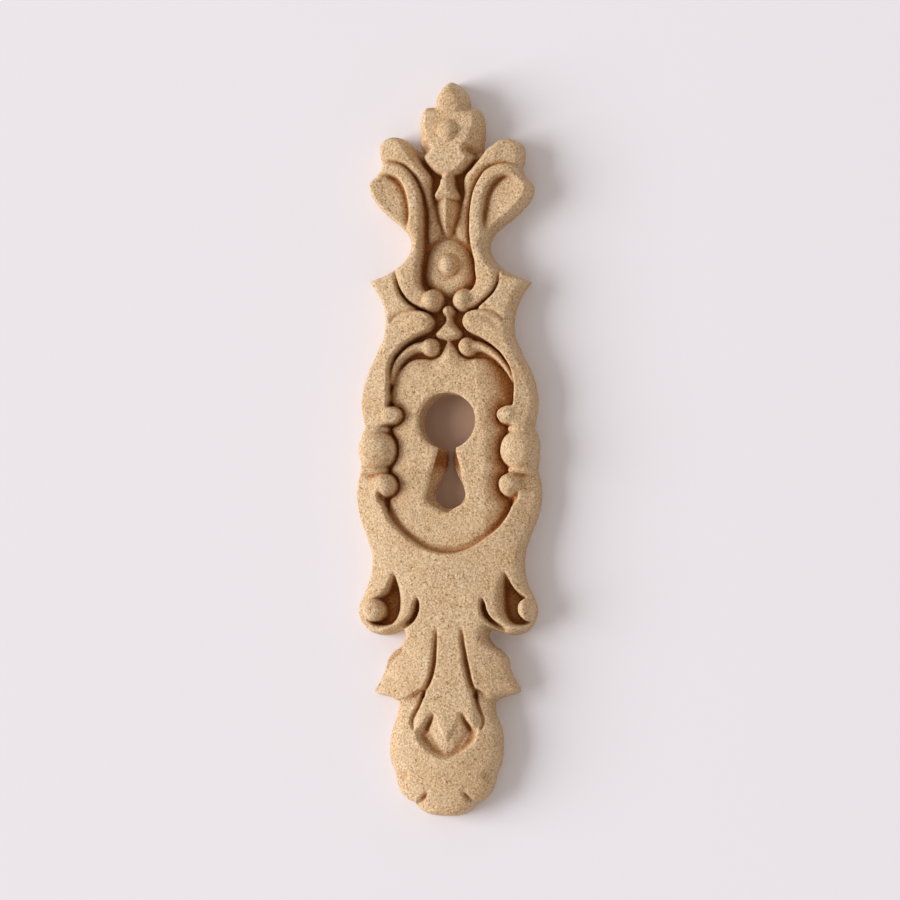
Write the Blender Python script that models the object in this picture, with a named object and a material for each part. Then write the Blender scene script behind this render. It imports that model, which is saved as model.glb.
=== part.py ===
"""Wooden keyhole escutcheon: one moulded relief with a flat back and a keyhole right through.

X runs across, Z up the length and the front faces -Y. The origin lies on the flat back, on the
centre line, 23.5 mm below the centre of the keyhole's round. The relief is a height out of the back,
worked out from named forms: rolls along a path, domes, pads with a shaped edge, hollows and
grooves. Every path is given for the right half, in millimetres as (across, up), and the left half
mirrors it.
"""

import math

import bmesh
import bpy
import numpy as np
from mathutils import Vector
from mathutils.geometry import delaunay_2d_cdt

MM = 0.001
OBJECT_NAME = "keyhole_escutcheon"
NODE_NAME = "escutcheon"

# Heights out of the back, mm
GROUND = 1.9
PIT_FLOOR = 1.7
PANEL_TOP = 4.3
FORM_TOP = 6.0
BODY_TOP = 6.2
SHOULDER_TOP = 5.5
LOBE_TOP = 5.8
BUD_TOP = 5.6
BELL_TOP = 5.0
DOME_TOP = 4.1
SHELL_FLOOR = 4.5
WALL_TOP = 2.5
BLOCK_TOP = 8.0
BLOCK_FLOOR = -2.0

# The face comes down to the wall over this width along the outline, from this much above it, mm
EDGE_RISE = 5.4
EDGE_ROLL = 2.8
EDGE_FILLET = 1.0
OUTSIDE_REACH = 0.4
SOFTENING = 0.15

# Widths of the edges of pads and of the walls of hollows, mm
SHARP = 0.45
CRISP = 0.8
SOFT = 1.8
PANEL_EDGE = 3.6
DOME_EDGE = 3.2

# Keyhole, mm
ROUND_UP = 23.5
ROUND_RADIUS = 4.65
ROUND_TAPER = 0.1
SLOT_FRONT = ((1.5, 18.7), (2.15, 16.2), (2.75, 13.6), (3.3, 11.2), (3.05, 10.2), (1.5, 9.25), (0, 8.6))
SLOT_BACK = (
    (0.55, 18.4), (0.5, 17.3), (0.8, 16.0), (1.55, 14.4), (2.45, 12.6), (2.6, 11.2), (1.7, 9.7), (0, 9.1),
)

# Mesh, mm
GRID_STEP = 0.25
PATH_STEP = 0.4
OUTLINE_STEP = 0.8
SLOT_STEPS = 14
ROUND_STEPS = 15
SHEET_POINTS = 1720
FIRST_STEP = 6.0
ROUND_SHARE = 0.35

# Outline from the tip down, in stretches that meet at a corner
OUTLINE = (
    ((0, 79.3), (1.5, 78.5), (2.45, 76.9), (2.7, 75.25)),
    ((2.7, 75.25), (4.1, 75.1), (4.95, 73.7), (5.15, 71.0), (4.95, 67.8)),
    ((4.95, 67.8), (6.9, 69.0), (8.4, 70.0), (10.2, 70.1), (11.6, 69.0), (11.8, 67.0), (11.35, 65.4)),
    ((11.35, 65.4), (11.6, 64.6), (12.2, 63.7)),
    (
        (12.2, 63.7), (13.4, 62.5), (13.2, 60.5), (11.6, 58.3), (8.7, 55.9), (6.7, 53.9), (6.3, 51.9),
        (7.4, 49.7), (10.0, 47.75), (13.2, 46.5),
    ),
    (
        (13.2, 46.5), (11.7, 44.2), (10.6, 41.3), (10.6, 37.8), (11.8, 34.8), (13.5, 31.1), (14.4, 27.3),
        (14.3, 24.9), (13.75, 22.4),
    ),
    ((13.75, 22.4), (14.6, 20.8), (14.85, 18.4), (14.4, 15.6)),
    (
        (14.4, 15.6), (15.0, 13.4), (15.1, 11.0), (14.5, 7.8), (13.3, 4.7), (12.45, 1.7), (12.55, -1.2),
        (13.3, -3.5), (14.0, -5.1),
    ),
    ((14.0, -5.1), (14.7, -7.4), (14.1, -9.4), (12.5, -10.9), (10.2, -11.2), (8.2, -10.6), (6.95, -10.45)),
    ((6.95, -10.45), (6.65, -11.5), (7.4, -12.9), (9.0, -14.1), (9.9, -15.3), (10.2, -16.9)),
    (
        (10.2, -16.9), (10.8, -18.4), (11.6, -19.7), (11.95, -20.35), (11.55, -20.85), (10.3, -21.2),
        (8.9, -21.6), (7.8, -22.3),
    ),
    ((7.8, -22.3), (8.0, -24.2), (8.9, -26.6), (9.25, -29.2), (9.05, -31.9), (8.2, -33.9)),
    ((8.2, -33.9), (8.0, -35.3), (7.2, -37.0), (6.1, -38.1), (4.9, -38.6)),
    ((4.9, -38.6), (4.1, -39.6), (2.5, -40.5), (0, -40.8)),
)

# Rolls: (across, up, half width, crest)
STEM = (
    (11.9, 63.9, 0.8, 4.9), (10.5, 64.6, 1, 5.4), (8.9, 64.7, 1.1, 5.6), (7.4, 64, 1.15, 5.6),
    (6.3, 62.6, 1.15, 5.6), (5.6, 60.8, 1.15, 5.6), (5.2, 58.5, 1.15, 5.6), (5.1, 56.3, 1.2, 5.6),
    (5.3, 53.7, 1.4, 5.7), (5.8, 51.5, 1.7, 5.8), (6.35, 49.7, 1.9, 5.8), (6.6, 47.7, 2, 5.8),
    (6.3, 45.9, 1.8, 5.6), (5.3, 44.3, 1.5, 5.3), (3.9, 43.3, 1.4, 5),
)
CONE = (
    (0, 60.7, 2.4, 4.8), (0, 59.5, 2.2, 4.9), (0, 58.1, 1.8, 4.9), (0, 56.7, 1.3, 4.8),
    (0, 55.3, 0.8, 4.4), (0, 54.3, 0.4, 3.6),
)
NECK = ((0, 65, 1.6, 5.4), (0, 63.7, 1.25, 5.1), (0, 62.7, 1.3, 5.3))
INNER_NECK = ((0, 41.1, 0.65, 4.6), (0, 40.3, 0.6, 4.4), (0, 39.4, 0.9, 4.5))
CRESCENT = (
    (4, 35.8, 1.1, 4.8), (5.5, 35.7, 0.9, 4.8), (7.1, 34.8, 0.8, 4.7), (8.5, 33.4, 0.7, 4.6),
    (9.5, 31.7, 0.6, 4.3), (10.1, 29.9, 0.4, 3.7),
)
FRAME_ARM = ((4.1, 39.7, 1.7, 6.2), (5.6, 39.7, 1.9, 6.3), (7.6, 38.6, 2.1, 6.3), (9.5, 36.7, 2.2, 6.2))
COLLAR_ABOVE = ((10.4, 22.1, 0.7, 5), (11.5, 22, 0.9, 5.6), (14.8, 21.9, 1, 5.2))
COLLAR_BELOW = ((10.6, 15.4, 0.7, 5), (11.6, 15.4, 0.9, 5.6), (15, 15.4, 1, 5.2))
NOSE = (
    (0, -23, 4, 6.1), (0, -26, 3.9, 6), (0, -28, 3.3, 5.7), (0, -29.7, 2.3, 5.3), (0, -31.1, 1.2, 4.9),
    (0, -31.8, 0.6, 4.6),
)

# Domes: (across, up, radius, crest, foot, power of the section)
CURL_BALL = (2.65, 43.3, 2.0, 6.2, GROUND, 2.0)
DROP = (0, 61.5, 1.95, 6.0, GROUND, 3.0)
BUD_BEAD = (0, 71.1, 1.7, 6.7, 5.0, 2.0)
DOME_BEAD = (0, 49.1, 1.9, 5.3, 3.6, 1.6)
FINIAL_BALL = (0, 41.5, 1.05, 5.4, GROUND, 2.0)
HOOK_KNOB = (9.4, 24.4, 1.55, 5.9, GROUND, 3.2)
CRESCENT_BALL = (3.1, 35.7, 1.65, 5.4, GROUND, 2.0)
SIDE_BEAD = (11.9, 18.7, 3.35, 6.3, GROUND, 3.2)
VOLUTE_BALL = (12.8, -7.4, 1.8, 6.1, GROUND, 2.8)
LOWER_BALL = (10.4, 13.0, 1.95, 6.4, GROUND, 3.0)

# Pads on one side: outline points
SHOULDER = (
    (8.6, 48.4), (11, 47.5), (13.9, 46.6), (12.4, 43.7), (11.5, 41.5), (11.2, 38.5), (11.7, 36),
    (9.9, 35.9), (9, 38.3), (7.8, 39.8), (6.3, 40.9), (5, 41.9), (6.5, 43.25), (7.65, 44.6), (8.25, 46.1),
)
UPPER_LEAF = (
    (7, 69.4), (9.4, 70.4), (12, 69.5), (12.7, 67.3), (12.4, 64.8), (10.4, 65.2), (8.6, 65.4), (7.2, 65),
    (5.9, 63.9), (4.9, 62.3), (4.1, 59.9), (3.6, 57), (3.5, 53.9), (3.2, 52.8), (1.9, 53.5), (1.1, 54.8),
    (1.6, 56.5), (2.1, 58.5), (2.6, 61), (2.7, 63.7), (4, 65.4), (5.6, 67.5),
)
LOBE = (
    (12.3, 64.7), (14.4, 62.8), (14.4, 59.8), (12.6, 57.1), (9.7, 54.4), (7.4, 52.4), (5.6, 52.4),
    (5.2, 54.3), (5.9, 56.1), (6.35, 57.9), (6.8, 60), (7.6, 61.7), (8.9, 63.1), (10.3, 64.1),
)
FRAME = (
    (2.4, 39.6), (2.8, 40.7), (3.6, 41.4), (5, 41.8), (6.5, 41.6), (8.2, 40.8), (9.7, 39.9), (11.4, 39.5),
    (12.1, 36.1), (14.1, 31.8), (15.7, 27), (15.6, 23.5), (14.8, 22), (12.9, 21.8), (11.6, 21.9),
    (10.6, 22.6), (9.6, 22.8), (8.5, 23.2), (7.85, 24.3), (8.3, 25.4), (9.3, 25.8), (10.2, 25.9),
    (10.3, 27.5), (10.3, 29.5), (10, 31.9), (9.4, 33.4), (8.4, 34.9), (6.8, 36.3), (5.3, 37.2), (4, 37.8),
    (3, 38.4),
)

# Pads across the centre line: right half from top to bottom
BUD = (
    (0, 79.5), (1.7, 78.5), (2.75, 76.5), (2.9, 75.3), (3.4, 75.2), (4.4, 75.1), (5.2, 73.7), (5.4, 70.7),
    (5.2, 68.5), (4.6, 67.95), (4, 67.75), (4.25, 67), (3.7, 65.9), (2.7, 64.8), (1.7, 64.1), (0, 63.7),
)
INNER_BELL = ((0, 40.1), (0.8, 39.6), (1.5, 38.8), (2.3, 37.8), (1.9, 37.1), (0.9, 36.8), (0, 36.6))
DOME_FOOT = ((0, 53.8), (2.2, 52.8), (3.7, 51.2), (4.4, 49.1), (4.4, 46.7), (3.4, 45), (1.5, 44), (0, 43.6))
PANEL = (
    (0, 36.9), (0.8, 35.7), (1.5, 34.5), (3, 33.7), (4.6, 33.9), (6.2, 33.7), (7.9, 32.6), (9.2, 31.2),
    (10, 29.3), (10.3, 27), (9.6, 26), (8.2, 25.5), (7.7, 24.4), (8.2, 23.3), (9.5, 22.5), (9.4, 21.5),
    (8.6, 20.3), (8.35, 18.7), (8.7, 17.1), (9.7, 15.7), (9.5, 14.9), (8.7, 14.4), (8.3, 13), (8.8, 11.7),
    (9.9, 10.7), (9.9, 9.1), (8.8, 6.9), (7.1, 4.9), (4.7, 3.2), (2.3, 2.3), (0, 2),
)
SHELL = (
    (0, -20.5), (4.9, -21.3), (8.2, -22.5), (8.9, -25), (9.9, -27.7), (10.1, -31.5), (9, -34.5),
    (8.4, -37.6), (5.2, -40.1), (2.9, -41.8), (0, -42.2),
)

# The skin runs from the panel to the tongue's end: its right half in stretches
PANEL_SIDE = ((0, 1.7), (1.7, 1.8), (3.7, 2.5), (5.7, 3.7), (7.7, 5.3), (9.2, 7), (10.2, 9), (10.5, 10.8))
ARM_SIDE = (
    (9.7, 11.3), (8.7, 12.1), (8.6, 13.4), (9.4, 14.6), (10.8, 15.1), (12.5, 15.2), (14.8, 15.2),
    (16.4, 14), (16.8, 10.5), (16.2, 6.5), (15, 3.5), (14.2, 0.5), (14.4, -2), (15.2, -4.5),
)
VOLUTE_SIDE = ((16.2, -7), (16.2, -10), (14, -13.3), (10.5, -13.6), (8.4, -12.9), (8.3, -13.9))
LEAF_SIDE = ((9.6, -15.1), (10.9, -17.4), (12, -19.5), (13, -21.8), (9.7, -22.4), (7.3, -22.1))
TONGUE_END = (
    (5.8, -21.5), (4.5, -20.7), (4.7, -22.7), (5.2, -24.4), (5.5, -25.7), (4.9, -26.9), (4.1, -26.7),
    (3.3, -25.9), (2.5, -24.7), (2, -25.7), (1.2, -27.5), (0, -28.8),
)
SKIN = PANEL_SIDE + ARM_SIDE + VOLUTE_SIDE + LEAF_SIDE + TONGUE_END

# Hollows
DOME_PIT = ((0, 54.4), (2.4, 53.3), (4, 51.8), (4.9, 49.5), (4.9, 46.5), (4.2, 44.5), (2, 42.1), (0, 41.1))
SHELL_HOLLOW = (
    (0, -24.5), (2.6, -25.1), (4.9, -26.1), (5.3, -27.7), (4.8, -29.4), (3.9, -30.6), (2.6, -31.6),
    (1.2, -32.2), (0, -32.4),
)
SIDE_PIT = (
    (9.2, -1), (9.95, -2.1), (10.4, -3.2), (11.1, -4.2), (12.1, -5), (13.2, -5.5), (14.5, -6.4),
    (14.7, -8.3), (13.5, -9.7), (11.8, -10.2), (10.3, -10.1), (8.9, -9.5), (7.9, -8.3), (7.4, -6.5),
    (7.5, -4.5), (8.2, -2.5),
)

# Grooves: (across, up, half width, depth)
TONGUE_EDGE = (
    (2.1, -10.4, 0.3, 0.1), (2.15, -11.7, 0.4, 1), (2.35, -14, 0.45, 1.8), (2.75, -16.5, 0.5, 2.2),
    (3.3, -18.8, 0.5, 2.3), (4, -20.5, 0.5, 2), (4.3, -21.5, 0.4, 1.2),
)
TONGUE_SIDE = (
    (2.6, -11, 0.9, 0), (3.3, -14, 1.4, 0.3), (3.9, -16.5, 1.6, 0.5), (4.5, -19.1, 1.7, 0.6),
    (5.2, -20.9, 1.5, 0.5),
)
SLIT = (
    (5.1, -5.6, 0.3, 0.8), (5.15, -6.5, 0.4, 2.4), (5.3, -7.8, 0.45, 3.2), (5.9, -9.1, 0.5, 3.4),
    (6.9, -10.2, 0.6, 3.4), (8, -11.1, 0.8, 3.6), (8.4, -11.8, 0.8, 3.6),
)
TONGUE_LINE = (
    (4.3, -21.5, 0.45, 1.2), (4.8, -22.9, 0.35, 0.9), (5.4, -24.2, 0.35, 0.8), (5.9, -25.5, 0.4, 0.8),
    (5.7, -26.8, 0.3, 0.5),
)
BALL_NOTCH = ((11.3, 11.8, 0.5, 0.8), (11.1, 10.9, 0.7, 1.6), (10.5, 10, 0.6, 0.8))
PANEL_DITCH = (
    (10.3, 10.4, 0.4, 0.2), (9.5, 8.4, 0.45, 0.3), (8.2, 6.5, 0.45, 0.3), (6.3, 4.6, 0.45, 0.3),
    (4.3, 3.3, 0.45, 0.3), (2.2, 2.5, 0.4, 0.3), (0, 2.25, 0.4, 0.3),
)
RIM_DENT = ((8, -34, 0.7, 0.3), (6.9, -34.3, 0.9, 0.7), (6, -34.5, 0.6, 0.1))
FOOT_SLIT = ((5.1, -39.2, 0.4, 0.4), (4.2, -38.4, 0.45, 1), (3.5, -37.7, 0.45, 1.1), (2.9, -37, 0.3, 0.2))
LEAF_DENT = ((11.2, -17.9, 0.8, 0.5), (10, -18.4, 0.8, 0.5), (8.6, -18.6, 0.6, 0.1))

# Sections of a pad's edge: powers (p, q) of (1 - share**p)**q, share running from 1 at its foot to 0
ROUND = (2.0, 0.5)
CUSHION = (2.0, 1.0)
FACET = (1.0, 1.0)


def spline(knots, step, closed=False):
    """A smooth curve through the knots, sampled about every step; columns beyond the first two ride along.

    It is the centripetal Catmull-Rom curve: each stretch blends the straight lines through its four
    nearest knots. An end on the centre line is level there, because its mirrored neighbour is used.
    """
    points = np.asarray(knots, float)
    if closed:
        points = np.vstack([points[-1:], points, points[:2]])
    else:
        ends = []
        for end, inner in ((points[0], points[1]), (points[-1], points[-2])):
            on_centre = end[0] == 0 and inner[0] != 0
            ghost = inner * np.r_[-1, np.ones(len(inner) - 1)] if on_centre else 2 * end - inner
            ends.append(ghost)
        points = np.vstack([ends[0], points, ends[1]])
    curve = []
    for before, start, stop, after in zip(points[:-3], points[1:-2], points[2:-1], points[3:]):
        pairs = ((before, start), (start, stop), (stop, after))
        legs = [math.sqrt(max(math.dist(p[:2], q[:2]), 1e-6)) for p, q in pairs]
        t0, t1, t2, t3 = np.cumsum([0.0, *legs])
        count = max(2, math.ceil(math.dist(start[:2], stop[:2]) / step))
        t = np.linspace(t1, t2, count, endpoint=False)[:, None]
        a = ((t1 - t) * before + (t - t0) * start) / (t1 - t0)
        b = ((t2 - t) * start + (t - t1) * stop) / (t2 - t1)
        c = ((t3 - t) * stop + (t - t2) * after) / (t3 - t2)
        d = ((t2 - t) * a + (t - t0) * b) / (t2 - t0)
        e = ((t3 - t) * b + (t - t1) * c) / (t3 - t1)
        curve.append(((t2 - t) * d + (t - t1) * e) / (t2 - t1))
    if not closed:
        curve.append(points[-2][None])
    return np.vstack(curve)


def mirrored(half):
    """The closed loop that a right half, given from its top to its bottom, makes with its mirror image."""
    half = np.asarray(half, float)
    inner = half[half[:, 0] > 0]
    return np.vstack([half, (inner * [-1, 1])[::-1]])


def outline_loop(step):
    """The outline as a closed loop that keeps its corners."""
    stretches = [spline(stretch, step)[:-1] for stretch in OUTLINE]
    return mirrored(np.vstack([*stretches, OUTLINE[-1][-1]]))


def nearest(path, across, up):
    """Distance from each point to a path, and the path's further columns there."""
    best = np.full(across.shape, 1e9)
    carried = np.zeros((path.shape[1] - 2, *across.shape))
    for start, stop in zip(path[:-1], path[1:]):
        run = stop[:2] - start[:2]
        share = ((across - start[0]) * run[0] + (up - start[1]) * run[1]) / (run @ run + 1e-12)
        share = np.clip(share, 0, 1)
        gap = np.hypot(across - start[0] - share * run[0], up - start[1] - share * run[1])
        closer = gap < best
        best[closer] = gap[closer]
        for column, values in enumerate(carried, start=2):
            values[closer] = (start[column] + share * (stop[column] - start[column]))[closer]
    return best, carried


def within(loop, across, up):
    """Whether each point lies inside a closed loop, by counting the sides to its right."""
    hit = np.zeros(across.shape, bool)
    for start, stop in zip(loop, np.roll(loop, -1, axis=0)):
        if start[1] == stop[1]:
            continue
        crossing = start[0] + (up - start[1]) * (stop[0] - start[0]) / (stop[1] - start[1])
        hit ^= ((start[1] > up) != (stop[1] > up)) & (across < crossing)
    return hit


def fused(first, second, fillet=0.25):
    """The higher of two surfaces, with a fillet where they meet."""
    near = np.clip(fillet - np.abs(first - second), 0, None) / fillet
    return np.maximum(first, second) + near * near * fillet / 4


class Relief:
    """Heights out of the back over the right half, on a regular grid, mm."""

    def __init__(self, step):
        self.step = step
        self.across, self.up = np.meshgrid(np.arange(0, 16.4, step), np.arange(-42.2, 80.6, step))
        self.height = np.full(self.across.shape, GROUND)

    def raise_to(self, surface, where):
        self.height = np.where(where, fused(self.height, surface), self.height)

    def roll(self, knots, foot=GROUND, power=2.0):
        """A rounded roll: its section is a superellipse over the distance from the path."""
        gap, (half, crest) = nearest(spline(knots, PATH_STEP), self.across, self.up)
        share = np.clip(gap / half, 0, 1)
        self.raise_to(foot + (crest - foot) * (1 - share**power) ** (1 / power), gap < half)

    def dome(self, across, up, radius, crest, foot, power):
        """A ball's cap: a superellipse over the distance from the centre."""
        gap = np.hypot(self.across - across, self.up - up)
        share = np.clip(gap / radius, 0, 1)
        self.raise_to(foot + (crest - foot) * (1 - share**power) ** (1 / power), gap < radius)

    def pad(self, loop, crest, edge, foot=GROUND, section=ROUND):
        """A raised form: its edge follows the section over the distance from its outline, then is level."""
        path = spline(loop, PATH_STEP, closed=True)
        gap, _ = nearest(np.vstack([path, path[:1]]), self.across, self.up)
        share = 1 - np.clip(gap / edge, 0, 1)
        rise = (1 - share ** section[0]) ** section[1]
        self.raise_to(foot + (crest - foot) * rise, within(path, self.across, self.up))

    def hollow(self, loop, floor, wall):
        """A sunk area: the face slopes to the floor by a smoothstep over the width of the wall."""
        path = spline(loop, PATH_STEP, closed=True)
        gap, _ = nearest(np.vstack([path, path[:1]]), self.across, self.up)
        share = np.clip(gap / wall, 0, 1)
        sunk = self.height + (np.minimum(floor, self.height) - self.height) * share * share * (3 - 2 * share)
        self.height = np.where(within(path, self.across, self.up), sunk, self.height)

    def groove(self, knots):
        """A pressed line with a parabola for its section, never cut below the ground."""
        gap, (half, depth) = nearest(spline(knots, PATH_STEP), self.across, self.up)
        cut = self.height - depth * (1 - np.clip(gap / half, 0, 1) ** 2)
        self.height = np.maximum(cut, np.minimum(self.height, GROUND))

    def soften(self, spread):
        """A Gaussian blur, mirrored at the centre line."""
        reach = math.ceil(3 * spread / self.step)
        weights = np.exp(-0.5 * (np.arange(-reach, reach + 1) * self.step / spread) ** 2)
        weights /= weights.sum()
        for axis, mode in ((0, "edge"), (1, "reflect")):
            margin = [(reach, reach) if axis == side else (0, 0) for side in (0, 1)]
            padded = np.pad(self.height, margin, mode=mode)
            size = self.height.shape[axis]
            taken = (padded.take(range(shift, shift + size), axis=axis) for shift in range(len(weights)))
            self.height = sum(weight * part for weight, part in zip(weights, taken))

    def roll_edge(self, loop):
        """Brings the relief down to the wall along the outline, and weighs where its shape counts most."""
        gap, _ = nearest(np.vstack([loop, loop[:1]]), self.across, self.up)
        share = np.clip(gap / EDGE_ROLL, 0, 1)
        inside = within(loop, self.across, self.up)
        limit = WALL_TOP + np.where(inside, EDGE_RISE * (1 - (1 - share) ** 3), 0)
        self.height = -fused(-self.height, -limit, EDGE_FILLET)
        steep = np.hypot(*np.gradient(self.height, self.step))
        self.weight = (inside | (gap < OUTSIDE_REACH)) / (1 + steep)


def fan(relief):
    """The upper leaves and lobes, the scroll stems and the bud between them."""
    across, up = relief.across, relief.up
    relief.hollow(mirrored(DOME_PIT), PIT_FLOOR, SHARP)
    relief.pad(SHOULDER, SHOULDER_TOP - 0.12 * np.clip(across - 8, 0, 5), CRISP)
    tail_to_leaf = np.clip((up - 59.5) / 5, 0, 1)
    relief.pad(UPPER_LEAF, 3.1 + 2.4 * tail_to_leaf, 1.2)
    from_stem = np.clip(0.92 * (across - 6) - 0.4 * (up - 55.5), 0, 6)
    relief.pad(LOBE, LOBE_TOP - 0.06 * from_stem**2, CRISP)
    relief.roll(STEM, power=2.6)
    relief.dome(*CURL_BALL)
    relief.roll(CONE, power=1.15)
    facet = np.where(up > 67.8, 1.2 + 0.24 * np.clip(74 - up, 0, 5.5), CRISP)
    knob = 0.8 * np.exp(-((across / 2.2) ** 2) - ((up - 76.4) / 1.9) ** 2)
    relief.pad(mirrored(BUD), BUD_TOP + knob, facet, foot=3.2, section=FACET)
    relief.roll(NECK)
    relief.dome(*DROP)
    relief.dome(*BUD_BEAD)


def waist(relief):
    """The dome between the stems, and the small finial under it."""
    relief.pad(mirrored(DOME_FOOT), DOME_TOP, DOME_EDGE, foot=2.2, section=CUSHION)
    relief.dome(*DOME_BEAD)
    relief.dome(*FINIAL_BALL)
    relief.roll(INNER_NECK)
    relief.pad(mirrored(INNER_BELL), BELL_TOP, CRISP)


def frame(relief):
    """The panel in its ditch, the arms round it, the beads and the collars beside them."""
    foot = 2.2 + np.clip((10.5 - relief.up) / 7, 0, 1)
    relief.pad(mirrored(PANEL), PANEL_TOP, PANEL_EDGE, foot=foot, section=CUSHION)
    relief.pad(FRAME, FORM_TOP - 0.28 * np.clip(relief.across - 10.3, 0, 5), SHARP)
    relief.roll(FRAME_ARM, power=2.6)
    relief.dome(*HOOK_KNOB)
    relief.roll(CRESCENT)
    relief.dome(*CRESCENT_BALL)
    relief.roll(COLLAR_ABOVE)
    relief.roll(COLLAR_BELOW)
    relief.dome(*SIDE_BEAD)


def body(relief):
    """The skin below the panel with its volutes, leaves and tongue, and the shell at the foot."""
    across, up = relief.across, relief.up
    below_leaves = np.clip((-22.5 - up) / 6, 0, 1)
    shell = FORM_TOP - 0.01 * (across**2 + (up + 29.5) ** 2)
    relief.pad(mirrored(SHELL), shell, CRISP + 2.4 * below_leaves)
    relief.hollow(mirrored(SHELL_HOLLOW), SHELL_FLOOR, 1.6)
    outer = np.clip((up + 17.5) / 6, 0, 1) * np.clip((across - 11) / 2, 0, 1)
    skin = BODY_TOP - 0.007 * across**2 - 0.15 * np.clip(across - 10.5, 0, 5)
    relief.pad(mirrored(SKIN), skin, CRISP + (SOFT - CRISP) * outer)
    relief.hollow(SIDE_PIT, PIT_FLOOR, CRISP)
    relief.dome(*VOLUTE_BALL)
    relief.dome(*LOWER_BALL)
    relief.roll(NOSE, foot=4.3)


def carve(relief):
    """Builds the forms in the order that lets each one lie over those before it."""
    fan(relief)
    waist(relief)
    frame(relief)
    body(relief)
    grooves = (
        PANEL_DITCH, BALL_NOTCH, SLIT, TONGUE_SIDE, TONGUE_EDGE, TONGUE_LINE, RIM_DENT, FOOT_SLIT, LEAF_DENT,
    )
    for line in grooves:
        relief.groove(line)
    relief.soften(SOFTENING)
    relief.roll_edge(outline_loop(PATH_STEP))


def collection_of(name):
    made = bpy.data.collections.new(name)
    bpy.context.scene.collection.children.link(made)
    return made


def object_of(name, shape, collection):
    """A new object from a bmesh, with its faces turned outwards."""
    bmesh.ops.recalc_face_normals(shape, faces=shape.faces)
    if shape.calc_volume(signed=True) < 0:
        bmesh.ops.reverse_faces(shape, faces=shape.faces)
    data = bpy.data.meshes.new(name)
    shape.to_mesh(data)
    shape.free()
    made = bpy.data.objects.new(name, data)
    collection.objects.link(made)
    return made


def farthest(relief, corners):
    """In one triangle of grid points, the grid point farthest from it by weight: (gap, column, row)."""
    (x0, y0), (x1, y1), (x2, y2) = corners
    columns, rows = zip(*corners)
    across = np.arange(min(columns), max(columns) + 1)
    up = np.arange(min(rows), max(rows) + 1)[:, None]
    area = (x1 - x0) * (y2 - y0) - (x2 - x0) * (y1 - y0)
    s = ((across - x0) * (y2 - y0) - (x2 - x0) * (up - y0)) / area
    t = ((x1 - x0) * (up - y0) - (across - x0) * (y1 - y0)) / area
    z0, z1, z2 = (relief.height[row, column] for column, row in corners)
    part = slice(min(rows), max(rows) + 1), slice(min(columns), max(columns) + 1)
    gap = np.abs(relief.height[part] - z0 - s * (z1 - z0) - t * (z2 - z0)) * relief.weight[part]
    gap[(s < 0) | (t < 0) | (s + t > 1)] = 0
    row, column = np.unravel_index(gap.argmax(), gap.shape)
    return gap[row, column], int(column + across[0]), int(row + up[0, 0])


def triangles_of(points):
    return delaunay_2d_cdt([Vector(point) for point in points], [], [], 0, 1e-6)[2]


def sheet(relief):
    """The grid points that carry the relief, and the triangles between them.

    It starts from a wide lattice. Each round adds the points that lie farthest from the triangles
    so far, at most one in a triangle, until there are enough.
    """
    rows, columns = relief.height.shape
    stride = round(FIRST_STEP / relief.step)
    first_columns = [*range(0, columns - 1, stride), columns - 1]
    first_rows = [*range(0, rows - 1, stride), rows - 1]
    points = [(column, row) for row in first_rows for column in first_columns]
    while len(points) < SHEET_POINTS:
        found = [farthest(relief, [points[i] for i in corners]) for corners in triangles_of(points)]
        found.sort(reverse=True)
        places = [(column, row) for gap, column, row in found if gap > ROUND_SHARE * found[0][0]]
        points += list(dict.fromkeys(places))[: SHEET_POINTS - len(points)]
    return points, triangles_of(points)


def relief_block(collection):
    """The relief over a rectangle, both halves, closed by side walls and a floor behind the back."""
    relief = Relief(GRID_STEP)
    carve(relief)
    points, triangles = sheet(relief)
    shape = bmesh.new()
    for side in (1, -1):
        corners = []
        for column, row in points:
            place = side * relief.across[row, column], -relief.height[row, column], relief.up[row, column]
            corners.append(shape.verts.new(Vector(place) * MM))
        for triangle in triangles:
            shape.faces.new([corners[index] for index in triangle[::side]])
    bmesh.ops.remove_doubles(shape, verts=shape.verts, dist=1e-6)
    border = [edge for edge in shape.edges if edge.is_boundary]
    grown = bmesh.ops.extrude_edge_only(shape, edges=border)["geom"]
    for item in grown:
        if isinstance(item, bmesh.types.BMVert):
            item.co.y = -BLOCK_FLOOR * MM
    floor = [item for item in grown if isinstance(item, bmesh.types.BMEdge) and item.is_boundary]
    bmesh.ops.contextual_create(shape, geom=floor)
    return object_of(NODE_NAME, shape, collection)


def prism(name, loop, back, front, collection):
    """A flat filled curve given a thickness along Y, made a mesh."""
    curve = bpy.data.curves.new(name + "_outline", "CURVE")
    curve.dimensions = "2D"
    curve.fill_mode = "BOTH"
    curve.extrude = 0.5 * (front - back) * MM
    line = curve.splines.new("POLY")
    line.points.add(len(loop) - 1)
    for point, (across, up) in zip(line.points, loop):
        point.co = (across * MM, up * MM, 0, 1)
    line.use_cyclic_u = True
    guide = bpy.data.objects.new(name + "_outline", curve)
    collection.objects.link(guide)
    bpy.context.view_layer.update()
    flat = bpy.data.meshes.new_from_object(guide.evaluated_get(bpy.context.evaluated_depsgraph_get()))
    bpy.data.objects.remove(guide)
    shape = bmesh.new()
    shape.from_mesh(flat)
    bmesh.ops.remove_doubles(shape, verts=shape.verts, dist=1e-6)
    middle = 0.5 * (front + back) * MM
    for vertex in shape.verts:
        across, up, depth = vertex.co
        vertex.co = (across, depth - middle, up)
    return object_of(name, shape, collection)


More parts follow.
